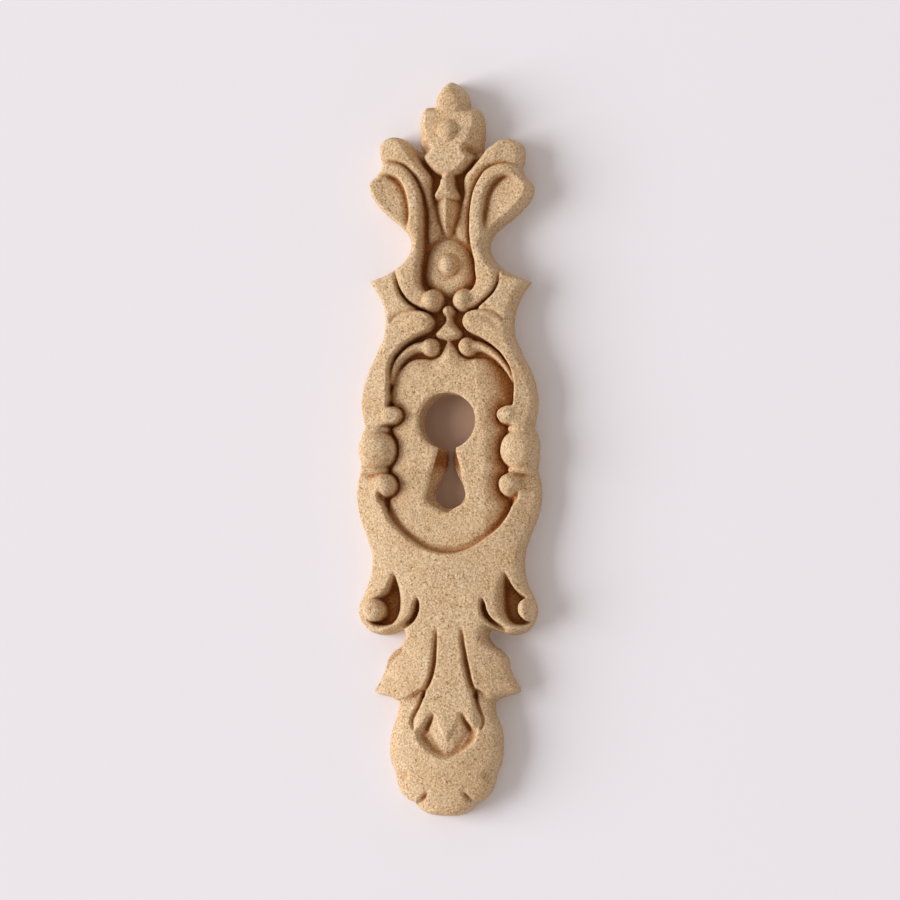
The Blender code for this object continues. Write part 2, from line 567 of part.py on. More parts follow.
def keyhole_half(radius, slot):
    """Right half of a keyhole from the top: the round down to the slot's corner, then the slot's side."""
    corner = math.atan2(-math.sqrt(radius**2 - slot[0][0] ** 2), slot[0][0])
    turn = np.linspace(math.pi / 2, corner, ROUND_STEPS)
    ring = np.stack([radius * np.cos(turn), ROUND_UP + radius * np.sin(turn)], axis=1)
    side = spline(slot, 0.1)
    run = np.r_[0, np.cumsum(np.hypot(*np.diff(side, axis=0).T))]
    at = np.linspace(0, run[-1], SLOT_STEPS + 1)[1:]
    side = np.stack([np.interp(at, run, side[:, 0]), np.interp(at, run, side[:, 1])], axis=1)
    side[-1, 0] = 0
    ring[0, 0] = 0
    return np.vstack([ring, side])


def keyhole_cutter(collection):
    """A tapered plug: the wide slot at the panel's face narrows to a pear at the back."""
    front = mirrored(keyhole_half(ROUND_RADIUS, SLOT_FRONT))
    back = mirrored(keyhole_half(ROUND_RADIUS - ROUND_TAPER, SLOT_BACK))
    levels = ((BLOCK_TOP, 1.0), (PANEL_TOP - 0.4, 1.0), (1.4, 0.1), (0.8, 0.0), (BLOCK_FLOOR, 0.0))
    shape = bmesh.new()
    rings = []
    for height, share in levels:
        loop = back + (front - back) * share
        rings.append([shape.verts.new((across * MM, -height * MM, up * MM)) for across, up in loop])
    for upper, lower in zip(rings[:-1], rings[1:]):
        for index in range(len(upper)):
            after = (index + 1) % len(upper)
            shape.faces.new((upper[index], upper[after], lower[after], lower[index]))
    shape.faces.new(rings[0])
    shape.faces.new(rings[-1])
    return object_of("keyhole_cutter", shape, collection)


def moulded_wood():
    """Pressed wood flour: pale tan, quite matt."""
    material = bpy.data.materials.new("moulded_wood")
    material.use_nodes = True
    shader = material.node_tree.nodes["Principled BSDF"]
    shader.inputs["Base Color"].default_value = (0.62, 0.43, 0.25, 1)
    shader.inputs["Roughness"].default_value = 0.85
    shader.inputs["Metallic"].default_value = 0.0
    return material


def add_boolean(piece, name, operation, other):
    modifier = piece.modifiers.new(name, "BOOLEAN")
    modifier.operation = operation
    modifier.solver = "EXACT"
    modifier.object = other


def build():
    for old in list(bpy.data.objects):
        bpy.data.objects.remove(old)
    parts = collection_of(OBJECT_NAME)
    cutters = collection_of("cutters")
    piece = relief_block(parts)
    outline = prism("outline_block", outline_loop(OUTLINE_STEP), 0, BLOCK_TOP, cutters)
    keyhole = keyhole_cutter(cutters)
    add_boolean(piece, "keep_inside_outline", "INTERSECT", outline)
    add_boolean(piece, "cut_keyhole", "DIFFERENCE", keyhole)
    for helper in (outline, keyhole):
        helper.hide_render = True
        helper.display_type = "WIRE"
    piece.data.materials.append(moulded_wood())
    piece.data.shade_smooth()


build()
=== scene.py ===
"""Looks of the wooden keyhole escutcheon: one moulded relief of pressed wood flour.

The relief is a height out of the flat back, worked out in millimetres on the right half as
(across, up) and mirrored. It is laid over a triangulated sheet that follows the outline, and
walls carried along the outline and the keyhole close it to the back.
"""

import math

import bpy
import numpy as np
from mathutils import Matrix, Vector
from mathutils.geometry import delaunay_2d_cdt


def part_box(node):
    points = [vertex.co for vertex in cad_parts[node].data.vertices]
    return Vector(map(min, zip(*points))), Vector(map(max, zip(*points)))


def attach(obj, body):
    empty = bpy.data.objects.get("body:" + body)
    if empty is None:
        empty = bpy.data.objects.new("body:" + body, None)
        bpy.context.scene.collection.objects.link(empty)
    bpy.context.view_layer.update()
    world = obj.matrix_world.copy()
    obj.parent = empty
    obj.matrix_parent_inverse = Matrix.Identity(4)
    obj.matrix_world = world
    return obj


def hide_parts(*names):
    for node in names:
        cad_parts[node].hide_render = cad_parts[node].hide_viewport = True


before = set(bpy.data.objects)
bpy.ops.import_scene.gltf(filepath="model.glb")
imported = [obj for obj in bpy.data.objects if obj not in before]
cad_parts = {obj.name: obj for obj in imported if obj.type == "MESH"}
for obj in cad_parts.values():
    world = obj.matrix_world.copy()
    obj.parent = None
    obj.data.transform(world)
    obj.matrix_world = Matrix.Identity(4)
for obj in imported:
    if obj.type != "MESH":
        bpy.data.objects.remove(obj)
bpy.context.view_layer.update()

MM = 0.001
NODE = "escutcheon"
BOX_LOW, BOX_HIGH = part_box(NODE)

# Heights out of the back, mm
GROUND = 2.1
PIT_FLOOR = 1.8
PANEL_TOP = 4.3
FORM_TOP = 5.9
WALL_TOP = 2.5
EDGE_RISE = 5.4
EDGE_ROLL = 3.2
EDGE_FILLET = 1.0
SOFTENING = 0.11
PANEL_LEAN = 0.25

# Keyhole, mm
ROUND_UP = 23.5
ROUND_RADIUS = 4.65
ROUND_TAPER = 0.1
KEYHOLE_LIP = 0.35
SLOT_FRONT = ((1.5, 18.7), (2.15, 16.2), (2.75, 13.6), (3.3, 11.2), (3.05, 10.2), (1.5, 9.25), (0, 8.6))
SLOT_BACK = (
    (0.55, 18.4), (0.5, 17.3), (0.8, 16), (1.5, 14.5), (2.35, 13), (2.6, 11.7), (2.1, 10.4), (1.1, 9.6),
    (0, 9.4),
)

# Rings down the walls: (share of the face's height, share of the way from the back loop to the front loop)
RIM_WALL = ((0.7, 1), (0.35, 1), (0.0, 1))
KEYHOLE_WALL = ((0.9, 1), (0.72, 0.93), (0.5, 0.55), (0.36, 0.18), (0.25, 0), (0.0, 0))

# Grids, mm: the half that carries the heights, and the sheet of points that the face is made of
RELIEF_STEP = 0.1
RELIEF_WIDTH = 16.4
RELIEF_LOW, RELIEF_HIGH = -42.2, 80.6
PATH_STEP = 0.3
SHEET_STEP = 0.2
SHEET_ROW = 0.87  # height of a staggered row, in steps
SHEET_HALF_WIDTH = 15.6
SHEET_LOW, SHEET_HIGH = -41.4, 79.8
OUTLINE_STEP = 0.22
SLOT_STEP = 0.1
ROUND_STEPS, SLOT_STEPS = 36, 56
RIM_RINGS = (0.08, 0.2)
RING_CLEAR, GRID_CLEAR = 0.8, 0.55  # free space round the rings, in ring distances, and the grid, in steps
SHARP_EDGE = 75  # degrees

# The forms sit this far right of the centre line: (up, across), mm
DRIFT = (
    (79, 0.3), (75, 0.1), (70, -0.2), (62, -0.4), (55, -0.35), (50, -0.1), (46, 0.05), (43, -0.1),
    (40, 0.2), (36, 0.1), (33, 0.4), (30, 0.72), (27, 0.72), (25, 0.4), (22, 0.2), (15, 0.15), (3, 0.6),
    (-6, 1.1), (-18, 1.1), (-30, 0.7), (-41, 0.4),
)

# Outline from the tip down, in stretches that meet at a corner
OUTLINE = (
    ((0, 79.3), (1.5, 78.5), (2.45, 76.9), (2.7, 75.25)),
    ((2.7, 75.25), (4.1, 75.1), (4.95, 73.7), (5.15, 71.0), (4.95, 67.8)),
    ((4.95, 67.8), (6.9, 69.0), (8.4, 70.0), (10.2, 70.1), (11.6, 69.0), (11.8, 67.0), (11.35, 65.4)),
    ((11.35, 65.4), (11.6, 64.6), (12.2, 63.7)),
    (
        (12.2, 63.7), (13.4, 62.5), (13.2, 60.5), (11.6, 58.3), (8.7, 55.9), (6.7, 53.9), (6.3, 51.9),
        (7.4, 49.7), (10.0, 47.75), (13.2, 46.5),
    ),
    (
        (13.2, 46.5), (11.7, 44.2), (10.6, 41.3), (10.6, 37.8), (11.8, 34.8), (13.5, 31.1), (14.4, 27.3),
        (14.3, 24.9), (13.75, 22.4),
    ),
    ((13.75, 22.4), (14.6, 20.8), (14.85, 18.4), (14.4, 15.6)),
    (
        (14.4, 15.6), (15.0, 13.4), (15.1, 11.0), (14.5, 7.8), (13.3, 4.7), (12.45, 1.7), (12.55, -1.2),
        (13.3, -3.5), (14.0, -5.1),
    ),
    ((14.0, -5.1), (14.7, -7.4), (14.1, -9.4), (12.5, -10.9), (10.2, -11.2), (8.2, -10.6), (6.95, -10.45)),
    ((6.95, -10.45), (6.65, -11.5), (7.4, -12.9), (9.0, -14.1), (9.9, -15.3), (10.2, -16.9)),
    (
        (10.2, -16.9), (10.8, -18.4), (11.6, -19.7), (11.95, -20.35), (11.55, -20.85), (10.3, -21.2),
        (8.9, -21.6), (7.8, -22.3),
    ),
    ((7.8, -22.3), (8.0, -24.2), (8.9, -26.6), (9.25, -29.2), (9.05, -31.9), (8.2, -33.9)),
    ((8.2, -33.9), (8.0, -35.3), (7.2, -37.0), (6.1, -38.1), (4.9, -38.6)),
    ((4.9, -38.6), (4.1, -39.6), (2.5, -40.5), (0, -40.8)),
)

# Rolls: (across, up, half width, crest)
STEM = (
    (11.9, 63.9, 0.8, 5.2), (10.5, 64.6, 1, 5.8), (8.9, 64.7, 1.1, 6), (7.4, 64, 1.15, 6),
    (6.3, 62.6, 1.15, 5.9), (5.6, 60.8, 1.15, 5.9), (5.2, 58.5, 1.15, 5.9), (5.1, 56.3, 1.2, 5.9),
    (5.3, 53.7, 1.4, 5.9), (5.8, 51.5, 1.7, 5.9), (6.35, 49.7, 1.9, 5.9), (6.6, 47.7, 2, 5.9),
    (6.3, 45.9, 1.8, 5.7), (5.3, 44.3, 1.5, 5.3), (3.9, 43.3, 1.4, 5),
)
CONE = (
    (0, 60.2, 2.1, 4.8), (0, 59, 2.1, 4.9), (0, 57.8, 1.9, 4.9), (0, 56.5, 1.5, 4.8), (0, 55.3, 1, 4.4),
    (0, 54.3, 0.5, 3.6),
)
LOBE_SEAM = (
    (10.6, 64.1, 0.5, 3.4), (9.2, 63.7, 0.6, 4.1), (8.1, 62.8, 0.6, 4.2), (7.1, 61.2, 0.6, 4.2),
    (6.6, 59, 0.6, 4.2), (6.1, 56.8, 0.6, 4.2), (5.6, 55, 0.5, 4.1),
)
NECK = ((0, 65, 1.6, 5.4), (0, 63.7, 1.25, 5.1), (0, 62.7, 1.3, 5.3))
INNER_NECK = ((0, 41.1, 0.65, 4.6), (0, 40.3, 0.6, 4.4), (0, 39.4, 0.9, 4.5))
CRESCENT = (
    (4, 35.8, 1.1, 4.8), (5.5, 35.7, 0.9, 4.8), (7.1, 34.8, 0.8, 4.7), (8.5, 33.4, 0.7, 4.6),
    (9.5, 31.7, 0.6, 4.3), (10.1, 29.9, 0.4, 3.7),
)
FRAME_ARM = ((4.1, 39.7, 1.7, 6.5), (5.6, 39.7, 1.9, 6.3), (7.6, 38.6, 2.1, 5.8), (9.5, 36.7, 2.2, 5.6))
COLLAR_ABOVE = ((10.4, 22.1, 0.7, 5), (11.5, 22, 0.9, 5.6), (14.8, 21.9, 1, 5.2))
COLLAR_BELOW = ((10.6, 15.4, 0.7, 5), (11.6, 15.4, 0.9, 5.6), (15, 15.4, 1, 5.2))
NOSE = (
    (0, -23, 4, 6.1), (0, -25.5, 3.8, 6), (0, -27, 3.3, 5.8), (0, -28.5, 2.4, 5.4), (0, -29.8, 1.5, 5.1),
    (0, -30.8, 0.7, 4.8),
)

# Domes: (across, up, radius, crest, foot, power of the section)
CURL_BALL = (2.65, 43.3, 2.0, 6.2, GROUND, 2.0)
BUD_BEAD = (0, 71.2, 1.8, 6.65, 4.9, 2.2)
DOME_BEAD = (-0.1, 49.2, 1.95, 5.5, 2.9, 2.0)
FINIAL_BALL = (0, 41.5, 1.05, 5.4, GROUND, 2.0)
HOOK_KNOB = (9.8, 24.4, 1.6, 5.9, GROUND, 3.2)
CRESCENT_BALL = (3.1, 35.7, 1.65, 5.4, GROUND, 2.0)
SIDE_BEAD = (11.9, 18.7, 3.35, 6.3, GROUND, 2.7)
VOLUTE_BALL = (12.9, -7.4, 1.9, 6.2, GROUND, 3.6)
LOWER_BALL = (10.4, 13.0, 1.95, 6.4, GROUND, 3.0)

# Pads on one side: outline points
SHOULDER = (
    (8.6, 48.4), (11, 47.5), (13.9, 46.6), (12.4, 43.7), (11.5, 41.5), (11.2, 38.5), (11.7, 36),
    (9.9, 35.9), (9, 38.3), (7.8, 39.8), (6.3, 40.9), (5, 41.9), (6.5, 43.25), (7.65, 44.6), (8.25, 46.1),
)
UPPER_LEAF = (
    (7, 69.4), (9.4, 70.4), (12, 69.5), (12.7, 67.3), (12.4, 64.8), (10.4, 65.2), (8.6, 65.4), (7.2, 65),
    (5.9, 63.9), (4.9, 62.3), (4.1, 59.9), (3.6, 57), (3.5, 53.9), (3.2, 52.8), (1.9, 53.5), (1.1, 54.8),
    (1.6, 56.5), (2.1, 58.5), (2.6, 61), (2.7, 63.7), (4, 65.4), (5.6, 67.5),
)
LOBE = (
    (12.3, 64.7), (14.4, 62.8), (14.4, 59.8), (12.6, 57.1), (9.7, 54.4), (7.4, 52.4), (5.6, 52.4),
    (5.2, 54.3), (5.9, 56.1), (6.3, 57.9), (6.75, 60), (7.5, 61.9), (8.75, 63.4), (10.2, 64.4),
)
FRAME = (
    (2.4, 39.6), (2.8, 40.7), (3.6, 41.4), (5, 41.8), (6.5, 41.6), (8.2, 40.8), (9.7, 39.9), (11.4, 39.5),
    (12.1, 36.1), (14.1, 31.8), (15.7, 27), (15.6, 23.5), (14.8, 22), (12.9, 21.8), (11.6, 21.9),
    (10.6, 22.6), (9.6, 22.8), (8.5, 23.2), (7.85, 24.3), (8.3, 25.4), (9.3, 25.8), (10.2, 25.9),
    (10.3, 27.5), (10.3, 29.5), (10, 31.9), (9.4, 33.4), (8.4, 34.9), (6.8, 36.3), (5.3, 37.2), (4, 37.8),
    (3, 38.4),
)
SKIN = (
    (0, 2.0), (1.7, 2.1), (3.7, 2.8), (5.7, 4.0), (7.7, 5.6), (9.2, 7.2), (10.2, 9), (10.5, 10.8),
    (9.7, 11.3), (8.7, 12.1), (8.6, 13.4), (9.4, 14.6), (10.8, 15.1), (12.5, 15.2), (14.8, 15.2),
    (16.4, 14), (16.8, 10.5), (16.2, 6.5), (15, 3.5), (14.2, 0.5), (14.4, -2), (15.2, -4.5), (16.2, -7),
    (16.2, -10), (14, -13.3), (10.5, -13.6), (8.4, -12.9), (8.3, -13.9), (9.6, -15.1), (10.9, -17.4),
    (12, -19.5), (13, -21.8), (9.7, -22.4), (7.3, -22.1), (5.8, -21.5), (4.5, -20.7), (4.7, -22.7),
    (5.2, -24.4), (5.5, -25.7), (4.9, -26.9), (4.1, -26.7), (3.3, -25.9), (2.5, -24.7), (2, -25.7),
    (1.2, -27.5), (0, -28.8),
)

# Pads across the centre line: right half from top to bottom
BUD = (
    (0, 79.5), (1.7, 78.5), (2.75, 76.5), (2.9, 75.3), (3.4, 75.2), (4.4, 75.1), (5.2, 73.7), (5.4, 70.7),
    (5.2, 68.5), (4.6, 67.95), (4, 67.75), (4.25, 67), (3.7, 65.9), (2.7, 64.8), (1.7, 64.1), (0, 63.7),
)
DROP = ((0, 64), (1.2, 63.4), (1.4, 62.3), (1.85, 61.2), (2.15, 60.4), (1.9, 59.9), (1, 59.75), (0, 59.7))
INNER_BELL = ((0, 40.1), (0.8, 39.6), (1.5, 38.8), (2.3, 37.8), (1.9, 37.1), (0.9, 36.8), (0, 36.6))
PANEL = (
    (0, 36.9), (0.8, 35.7), (1.5, 34.5), (3, 33.7), (4.6, 33.9), (6.2, 33.7), (7.9, 32.6), (9.2, 31.2),
    (10, 29.3), (10.3, 27), (9.6, 26), (8.2, 25.5), (7.7, 24.4), (8.2, 23.3), (9.5, 22.5), (9.4, 21.5),
    (8.6, 20.3), (8.35, 18.7), (8.7, 17.1), (9.7, 15.7), (9.5, 14.9), (8.7, 14.4), (8.3, 13), (8.8, 11.7),
    (9.9, 10.7), (10.1, 9.1), (9.2, 6.8), (7.4, 4.8), (4.9, 3.1), (2.4, 2.1), (0, 1.8),
)
SHELL = (
    (0, -18.5), (4.9, -19), (8.2, -20.8), (8.9, -24), (9.9, -27.7), (10.1, -31.5), (9, -34.5),
    (8.4, -37.6), (5.2, -40.1), (2.9, -41.8), (0, -42.2),
)

# Hollows
DOME_PIT = ((0, 54.4), (2.4, 53.3), (4, 51.8), (4.9, 49.5), (4.9, 46.5), (4.2, 44.5), (2, 42.1), (0, 41.1))
DOME_FOOT = ((0, 53.5), (2.1, 52.7), (3.6, 51), (4.25, 48.9), (4.25, 46.7), (3.2, 45), (1.5, 44), (0, 43.6))
SHELL_HOLLOW = (
    (0, -24.5), (2.6, -25.1), (4.9, -26.1), (5.4, -27.4), (5, -28.8), (4, -30), (2.6, -31.1),
    (1.2, -31.8), (0, -32),
)
SIDE_PIT = (
    (9.2, -1), (9.95, -2.1), (10.4, -3.2), (11.1, -4.2), (12.1, -5), (13.2, -5.5), (14.5, -6.4),
    (14.7, -8.3), (13.5, -9.7), (11.8, -10.2), (10.3, -10.1), (8.9, -9.5), (7.9, -8.3), (7.4, -6.5),
    (7.5, -4.5), (8.2, -2.5),
)

# Grooves: (across, up, half width, depth)
TONGUE_EDGE = (
    (2.1, -10.4, 0.3, 0.1), (2.15, -11.7, 0.4, 0.7), (2.35, -14, 0.45, 1.2), (2.75, -16.5, 0.5, 1.5),
    (3.3, -18.8, 0.5, 1.5), (4, -20.5, 0.5, 1.3), (4.3, -21.5, 0.4, 0.9),
)
TONGUE_SIDE = (
    (2.6, -11, 0.9, 0), (3.3, -14, 1.4, 0.1), (3.9, -16.5, 1.6, 0.2), (4.5, -19.1, 1.7, 0.2),
    (5.2, -20.9, 1.5, 0.2),
)
SLIT = (
    (5.4, -5.7, 0.3, 0.8), (5.45, -6.5, 0.5, 2.4), (5.65, -7.7, 0.6, 3), (6.35, -8.9, 0.6, 2.8),
    (7.4, -9.8, 0.55, 2.4), (8.4, -10.4, 0.5, 2), (9, -10.9, 0.5, 1.6),
)
TONGUE_LINE = (
    (4.3, -21.5, 0.45, 1.2), (4.8, -22.9, 0.35, 0.9), (5.4, -24.2, 0.35, 0.8), (5.9, -25.5, 0.4, 0.8),
    (5.7, -26.8, 0.3, 0.5),
)
BALL_NOTCH = ((11.3, 11.8, 0.6, 1), (11, 10.9, 0.8, 1.6), (10.5, 10, 0.7, 0.9))
PANEL_DITCH = (
    (10.3, 10.6, 0.4, 0.2), (9.5, 8.7, 0.45, 0.3), (8.2, 6.8, 0.45, 0.3), (6.3, 4.95, 0.45, 0.3),
    (4.3, 3.6, 0.45, 0.25), (2.2, 2.8, 0.4, 0.2), (0, 2.55, 0.4, 0.2),
)
TONGUE_NOTCH = (
    (2.35, -24.5, 0.3, 0.2), (2.75, -25.4, 0.4, 1.1), (3.3, -26.3, 0.5, 1), (3.8, -27.2, 0.5, 0.3),
)
NOSE_EDGE = (
    (4.8, -27.1, 0.6, 0.2), (4.2, -28.3, 0.8, 0.5), (2.9, -29.7, 0.6, 0.4), (1.4, -30.8, 0.5, 0.3),
    (0, -31.4, 0.4, 0.2),
)
ARM_CREASE = ((4.4, 41.8, 0.3, 0.2), (6.3, 41.7, 0.3, 0.4), (8, 41.2, 0.3, 0.4), (9.4, 39.9, 0.4, 0.5))
RIM_DENT = ((8, -34, 0.7, 0.3), (6.9, -34.3, 0.9, 0.7), (6, -34.5, 0.6, 0.1))
FOOT_SLIT = ((5.1, -39.2, 0.4, 0.4), (4.2, -38.4, 0.45, 1), (3.5, -37.7, 0.45, 1.1), (2.9, -37, 0.3, 0.2))
LEAF_DENT = ((11.2, -17.9, 0.8, 0.5), (10, -18.4, 0.8, 0.5), (8.6, -18.6, 0.6, 0.1))
BUD_CREASE = ((2.9, 74.9, 0.5, 0.9), (2, 74.6, 0.5, 0.6), (1.2, 74.3, 0.35, 0.1))

# Tops, feet and edge widths of the pads, mm; a fall is mm down for each mm across, from where it starts
# and over its reach
FALL_REACH = 5
SHOULDER_TOP, SHOULDER_EDGE = 5.5, 0.7
SHOULDER_FALL, SHOULDER_FALL_FROM = 0.12, 8
LEAF_TAIL_TOP, LEAF_EDGE = 2.9, 1.2
LEAF_RISE, LEAF_RISE_FROM, LEAF_RISE_OVER = 2.7, 58.5, 6
LEAF_FALL, LEAF_FALL_FROM = 0.22, 8
LOBE_TOP, LOBE_FOOT, LOBE_EDGE = 4.7, 2.8, 1.3
LOBE_RISE, LOBE_RISE_FROM, LOBE_WAY, LOBE_REACH = 0.14, (6, 55.5), (0.92, -0.4), 6
BUD_TOP = 5.6
BUD_KNOB = ((0, 76.4), (2.2, 1.9), 0.8)  # the swelling of the tip: centre, radii, rise
BUD_EDGE = ((66.8, 68.3, 70, 72, 74), (0.8, 1.9, 2.1, 1.4, 1.1))  # heights up the bud, and the edge there
BUD_FOOT = ((66.8, 68.3, 70, 72), (3.4, 2.2, 2.2, 3.0))  # heights up the bud, and the foot there
DROP_TOP, DROP_EDGE = 6.0, 1.2
DOME_FOOT_TOP, DOME_FOOT_EDGE = 3.6, 2.4
BELL_TOP, BELL_EDGE = 5.0, 0.9
PANEL_FOOT, PANEL_EDGE = 3.1, 3.2
PANEL_LOW_FROM, PANEL_LOW_OVER = 9, 6  # the panel's lower end swells towards the body
PANEL_LOW_TOP, PANEL_LOW_FOOT = 0.7, 1.4
FRAME_TOP, FRAME_EDGE = FORM_TOP + 0.2, 0.3
FRAME_FALL, FRAME_FALL_FROM, FRAME_BEND = 0.08, 3, 10.3  # the fall steepens beyond the bend
FRAME_OUTER_FALL = 0.22
SHELL_TOP, SHELL_EDGE, SHELL_UPPER_EDGE = 6.1, 0.8, 2.4
SHELL_CURVE_ACROSS, SHELL_CURVE_UP, SHELL_MIDDLE = 0.022, 0.011, 29.5
SHELL_EDGE_FROM, SHELL_EDGE_OVER = -22.5, 6
SKIN_TOP, SKIN_CURVE, SKIN_EDGE, SKIN_SIDE_EDGE = 6.2, 0.0085, 0.6, 1.2
SKIN_FALL, SKIN_FALL_FROM = 0.12, 10.5
SIDE_EDGE_FROM, SIDE_EDGE_OVER = (11, -17.5), (2, 6)  # across and up
POINTED_LEAF_FALL, POINTED_LEAF_FROM, POINTED_LEAF_OVER = 0.18, (4, -11), (8, 3)

# Hollows: floor and width of the wall, mm
DOME_PIT_FLOOR, DOME_PIT_WALL = GROUND - 0.1, 0.4
SHELL_FLOOR, SHELL_WALL = 4.5, 1.6
SIDE_PIT_WALL = ((7.5, 10), (3.2, 0.7))  # places across, and the wall's width there
NOSE_FOOT = 4.3

# Powers of the rolls' sections: 1 is a ridge, 2 a circle, more is flatter on top
STEM_POWER = 5
CONE_POWER = 1.15
ARM_POWER = 2.1

# The panel's right side falls from these places: heights up, and places across
PANEL_FALL_START = ((24, 30), (6.3, 4.3))

# The moulded piece against its drawing: the fan leans, and every edge wavers (size, reach, seed), mm
FAN_LEAN_FROM, FAN_LEAN_OVER = 54, 12
FAN_LEAN_RIGHT, FAN_LEAN_DOWN = 0.15, 0.3
EDGE_WAVERS = ((6.0, 0.12, 11), (1.6, 0.05, 13))

# The noise behind the wavers, lumps and grain: a square of random values, read from well inside it
NOISE_SIZE, NOISE_START = 256, 400

# Lumps and grain of the pressed surface: (size, reach, seed), mm
SURFACE_LUMPS = ((2.6, 0.04, 1), (0.9, 0.02, 2), (0.36, 0.03, 3))

# Painted shade and the keyhole's stains, mm: a recess or crease is shaded as deep as the face lies
# under its own average over this spread
RECESS_SHADE_SPREAD, RECESS_SHADE_FULL = 1.3, 1.4
CREASE_SHADE_SPREAD, CREASE_SHADE_FULL = 0.4, 0.3
RIM_CLEAR, RIM_FADE = 0.45, 1.5  # no painted shade on the rim, then full within the fade
# Painted shade on the panel's right side, where it falls away from the light
FALL_SHADE = 1.2
BURN_UP, BURN_REACH = 17.3, 1.7  # the slot's narrow neck is burnt brown round this height
HOLE_STAIN, BURN_STAIN, BURN_CREASE = 0.2, 0.8, 0.7

# Fillet where two forms meet, and the margin round the part of the grid that a form covers, mm
FILLET = 0.25
MARGIN, WIDE_MARGIN = 0.1, 0.2

# Sections of a pad's edge: powers (p, q) of (1 - share**p)**q, share running from 1 at its foot to 0
ROUND = (2.0, 0.5)
CUSHION = (2.0, 1.0)
FACET = (1.0, 1.0)


def spline(knots, step, closed=False):
    """A smooth curve through the knots, sampled about every step; columns beyond the first two ride along.

    Each stretch blends the straight lines through its four nearest knots, on a scale where the step from
    knot to knot is the square root of their distance. An end on the centre line is level there, because
    its mirrored neighbour is used.
    """
    points = np.asarray(knots, float)
    if closed:
        points = np.vstack([points[-1:], points, points[:2]])
    else:
        ends = []
        for end, inner in ((points[0], points[1]), (points[-1], points[-2])):
            on_centre = end[0] == 0 and inner[0] != 0
            ghost = inner * np.r_[-1, np.ones(len(inner) - 1)] if on_centre else 2 * end - inner
            ends.append(ghost)
        points = np.vstack([ends[0], points, ends[1]])
    curve = []
    for before, start, stop, after in zip(points[:-3], points[1:-2], points[2:-1], points[3:]):
        pairs = ((before, start), (start, stop), (stop, after))
        legs = [math.sqrt(max(math.dist(p[:2], q[:2]), 1e-6)) for p, q in pairs]
        t0, t1, t2, t3 = np.cumsum([0.0, *legs])
        count = max(2, math.ceil(math.dist(start[:2], stop[:2]) / step))
        t = np.linspace(t1, t2, count, endpoint=False)[:, None]
        a = ((t1 - t) * before + (t - t0) * start) / (t1 - t0)
        b = ((t2 - t) * start + (t - t1) * stop) / (t2 - t1)
        c = ((t3 - t) * stop + (t - t2) * after) / (t3 - t2)
        d = ((t2 - t) * a + (t - t0) * b) / (t2 - t0)
        e = ((t3 - t) * b + (t - t1) * c) / (t3 - t1)
        curve.append(((t2 - t) * d + (t - t1) * e) / (t2 - t1))
    if not closed:
        curve.append(points[-2][None])
    return np.vstack(curve)


def mirrored(half):
    """The closed loop that a right half, given from its top to its bottom, makes with its mirror image."""
    half = np.asarray(half, float)
    inner = half[half[:, 0] > 0]
    return np.vstack([half, (inner * [-1, 1])[::-1]])


def outline_loop(step):
    """The outline as a closed loop that keeps its corners."""
    stretches = [spline(stretch, step)[:-1] for stretch in OUTLINE]
    return mirrored(np.vstack([*stretches, OUTLINE[-1][-1]]))


def nearest(path, across, up):
    """Distance from each point to a path, and the path's further columns there."""
    best = np.full(across.shape, 1e9)
    carried = np.zeros((path.shape[1] - 2, *across.shape))
    for start, stop in zip(path[:-1], path[1:]):
        run = stop[:2] - start[:2]
        share = ((across - start[0]) * run[0] + (up - start[1]) * run[1]) / (run @ run + 1e-12)
        share = np.clip(share, 0, 1)
        gap = np.hypot(across - start[0] - share * run[0], up - start[1] - share * run[1])
        closer = gap < best
        best[closer] = gap[closer]
        for column, values in enumerate(carried, start=2):
            values[closer] = (start[column] + share * (stop[column] - start[column]))[closer]
    return best, carried


def within(loop, across, up):
    """Whether each point lies inside a closed loop, by counting the sides to its right."""
    hit = np.zeros(across.shape, bool)
    for start, stop in zip(loop, np.roll(loop, -1, axis=0)):
        if start[1] == stop[1]:
            continue
        crossing = start[0] + (up - start[1]) * (stop[0] - start[0]) / (stop[1] - start[1])
        hit ^= ((start[1] > up) != (stop[1] > up)) & (across < crossing)
    return hit


def fused(first, second, fillet=FILLET):
    """The higher of two surfaces, with a fillet where they meet."""
    near = np.clip(fillet - np.abs(first - second), 0, None) / fillet
    return np.maximum(first, second) + near * near * fillet / 4


def hump(across, up, centre, radii, rise):
    """A soft swelling: the rise times a bell curve over the distance from the centre, in radii."""
    away = ((across - centre[0]) / radii[0]) ** 2 + ((up - centre[1]) / radii[1]) ** 2
    return rise * np.exp(-away)


def value_noise(across, up, size, seed):
    """Smooth noise from -1 to 1: random values on a square grid of the given size, blended by smoothstep."""
    table = np.random.default_rng(seed).uniform(-1, 1, (NOISE_SIZE, NOISE_SIZE))
    x, y = across / size + NOISE_START, up / size + NOISE_START
    column, row = np.floor(x).astype(int), np.floor(y).astype(int)
    s, t = x - column, y - row
    s, t = s * s * (3 - 2 * s), t * t * (3 - 2 * t)
    corner = [table[(row + i) % NOISE_SIZE, (column + j) % NOISE_SIZE] for i in (0, 1) for j in (0, 1)]
    return (corner[0] * (1 - s) + corner[1] * s) * (1 - t) + (corner[2] * (1 - s) + corner[3] * s) * t


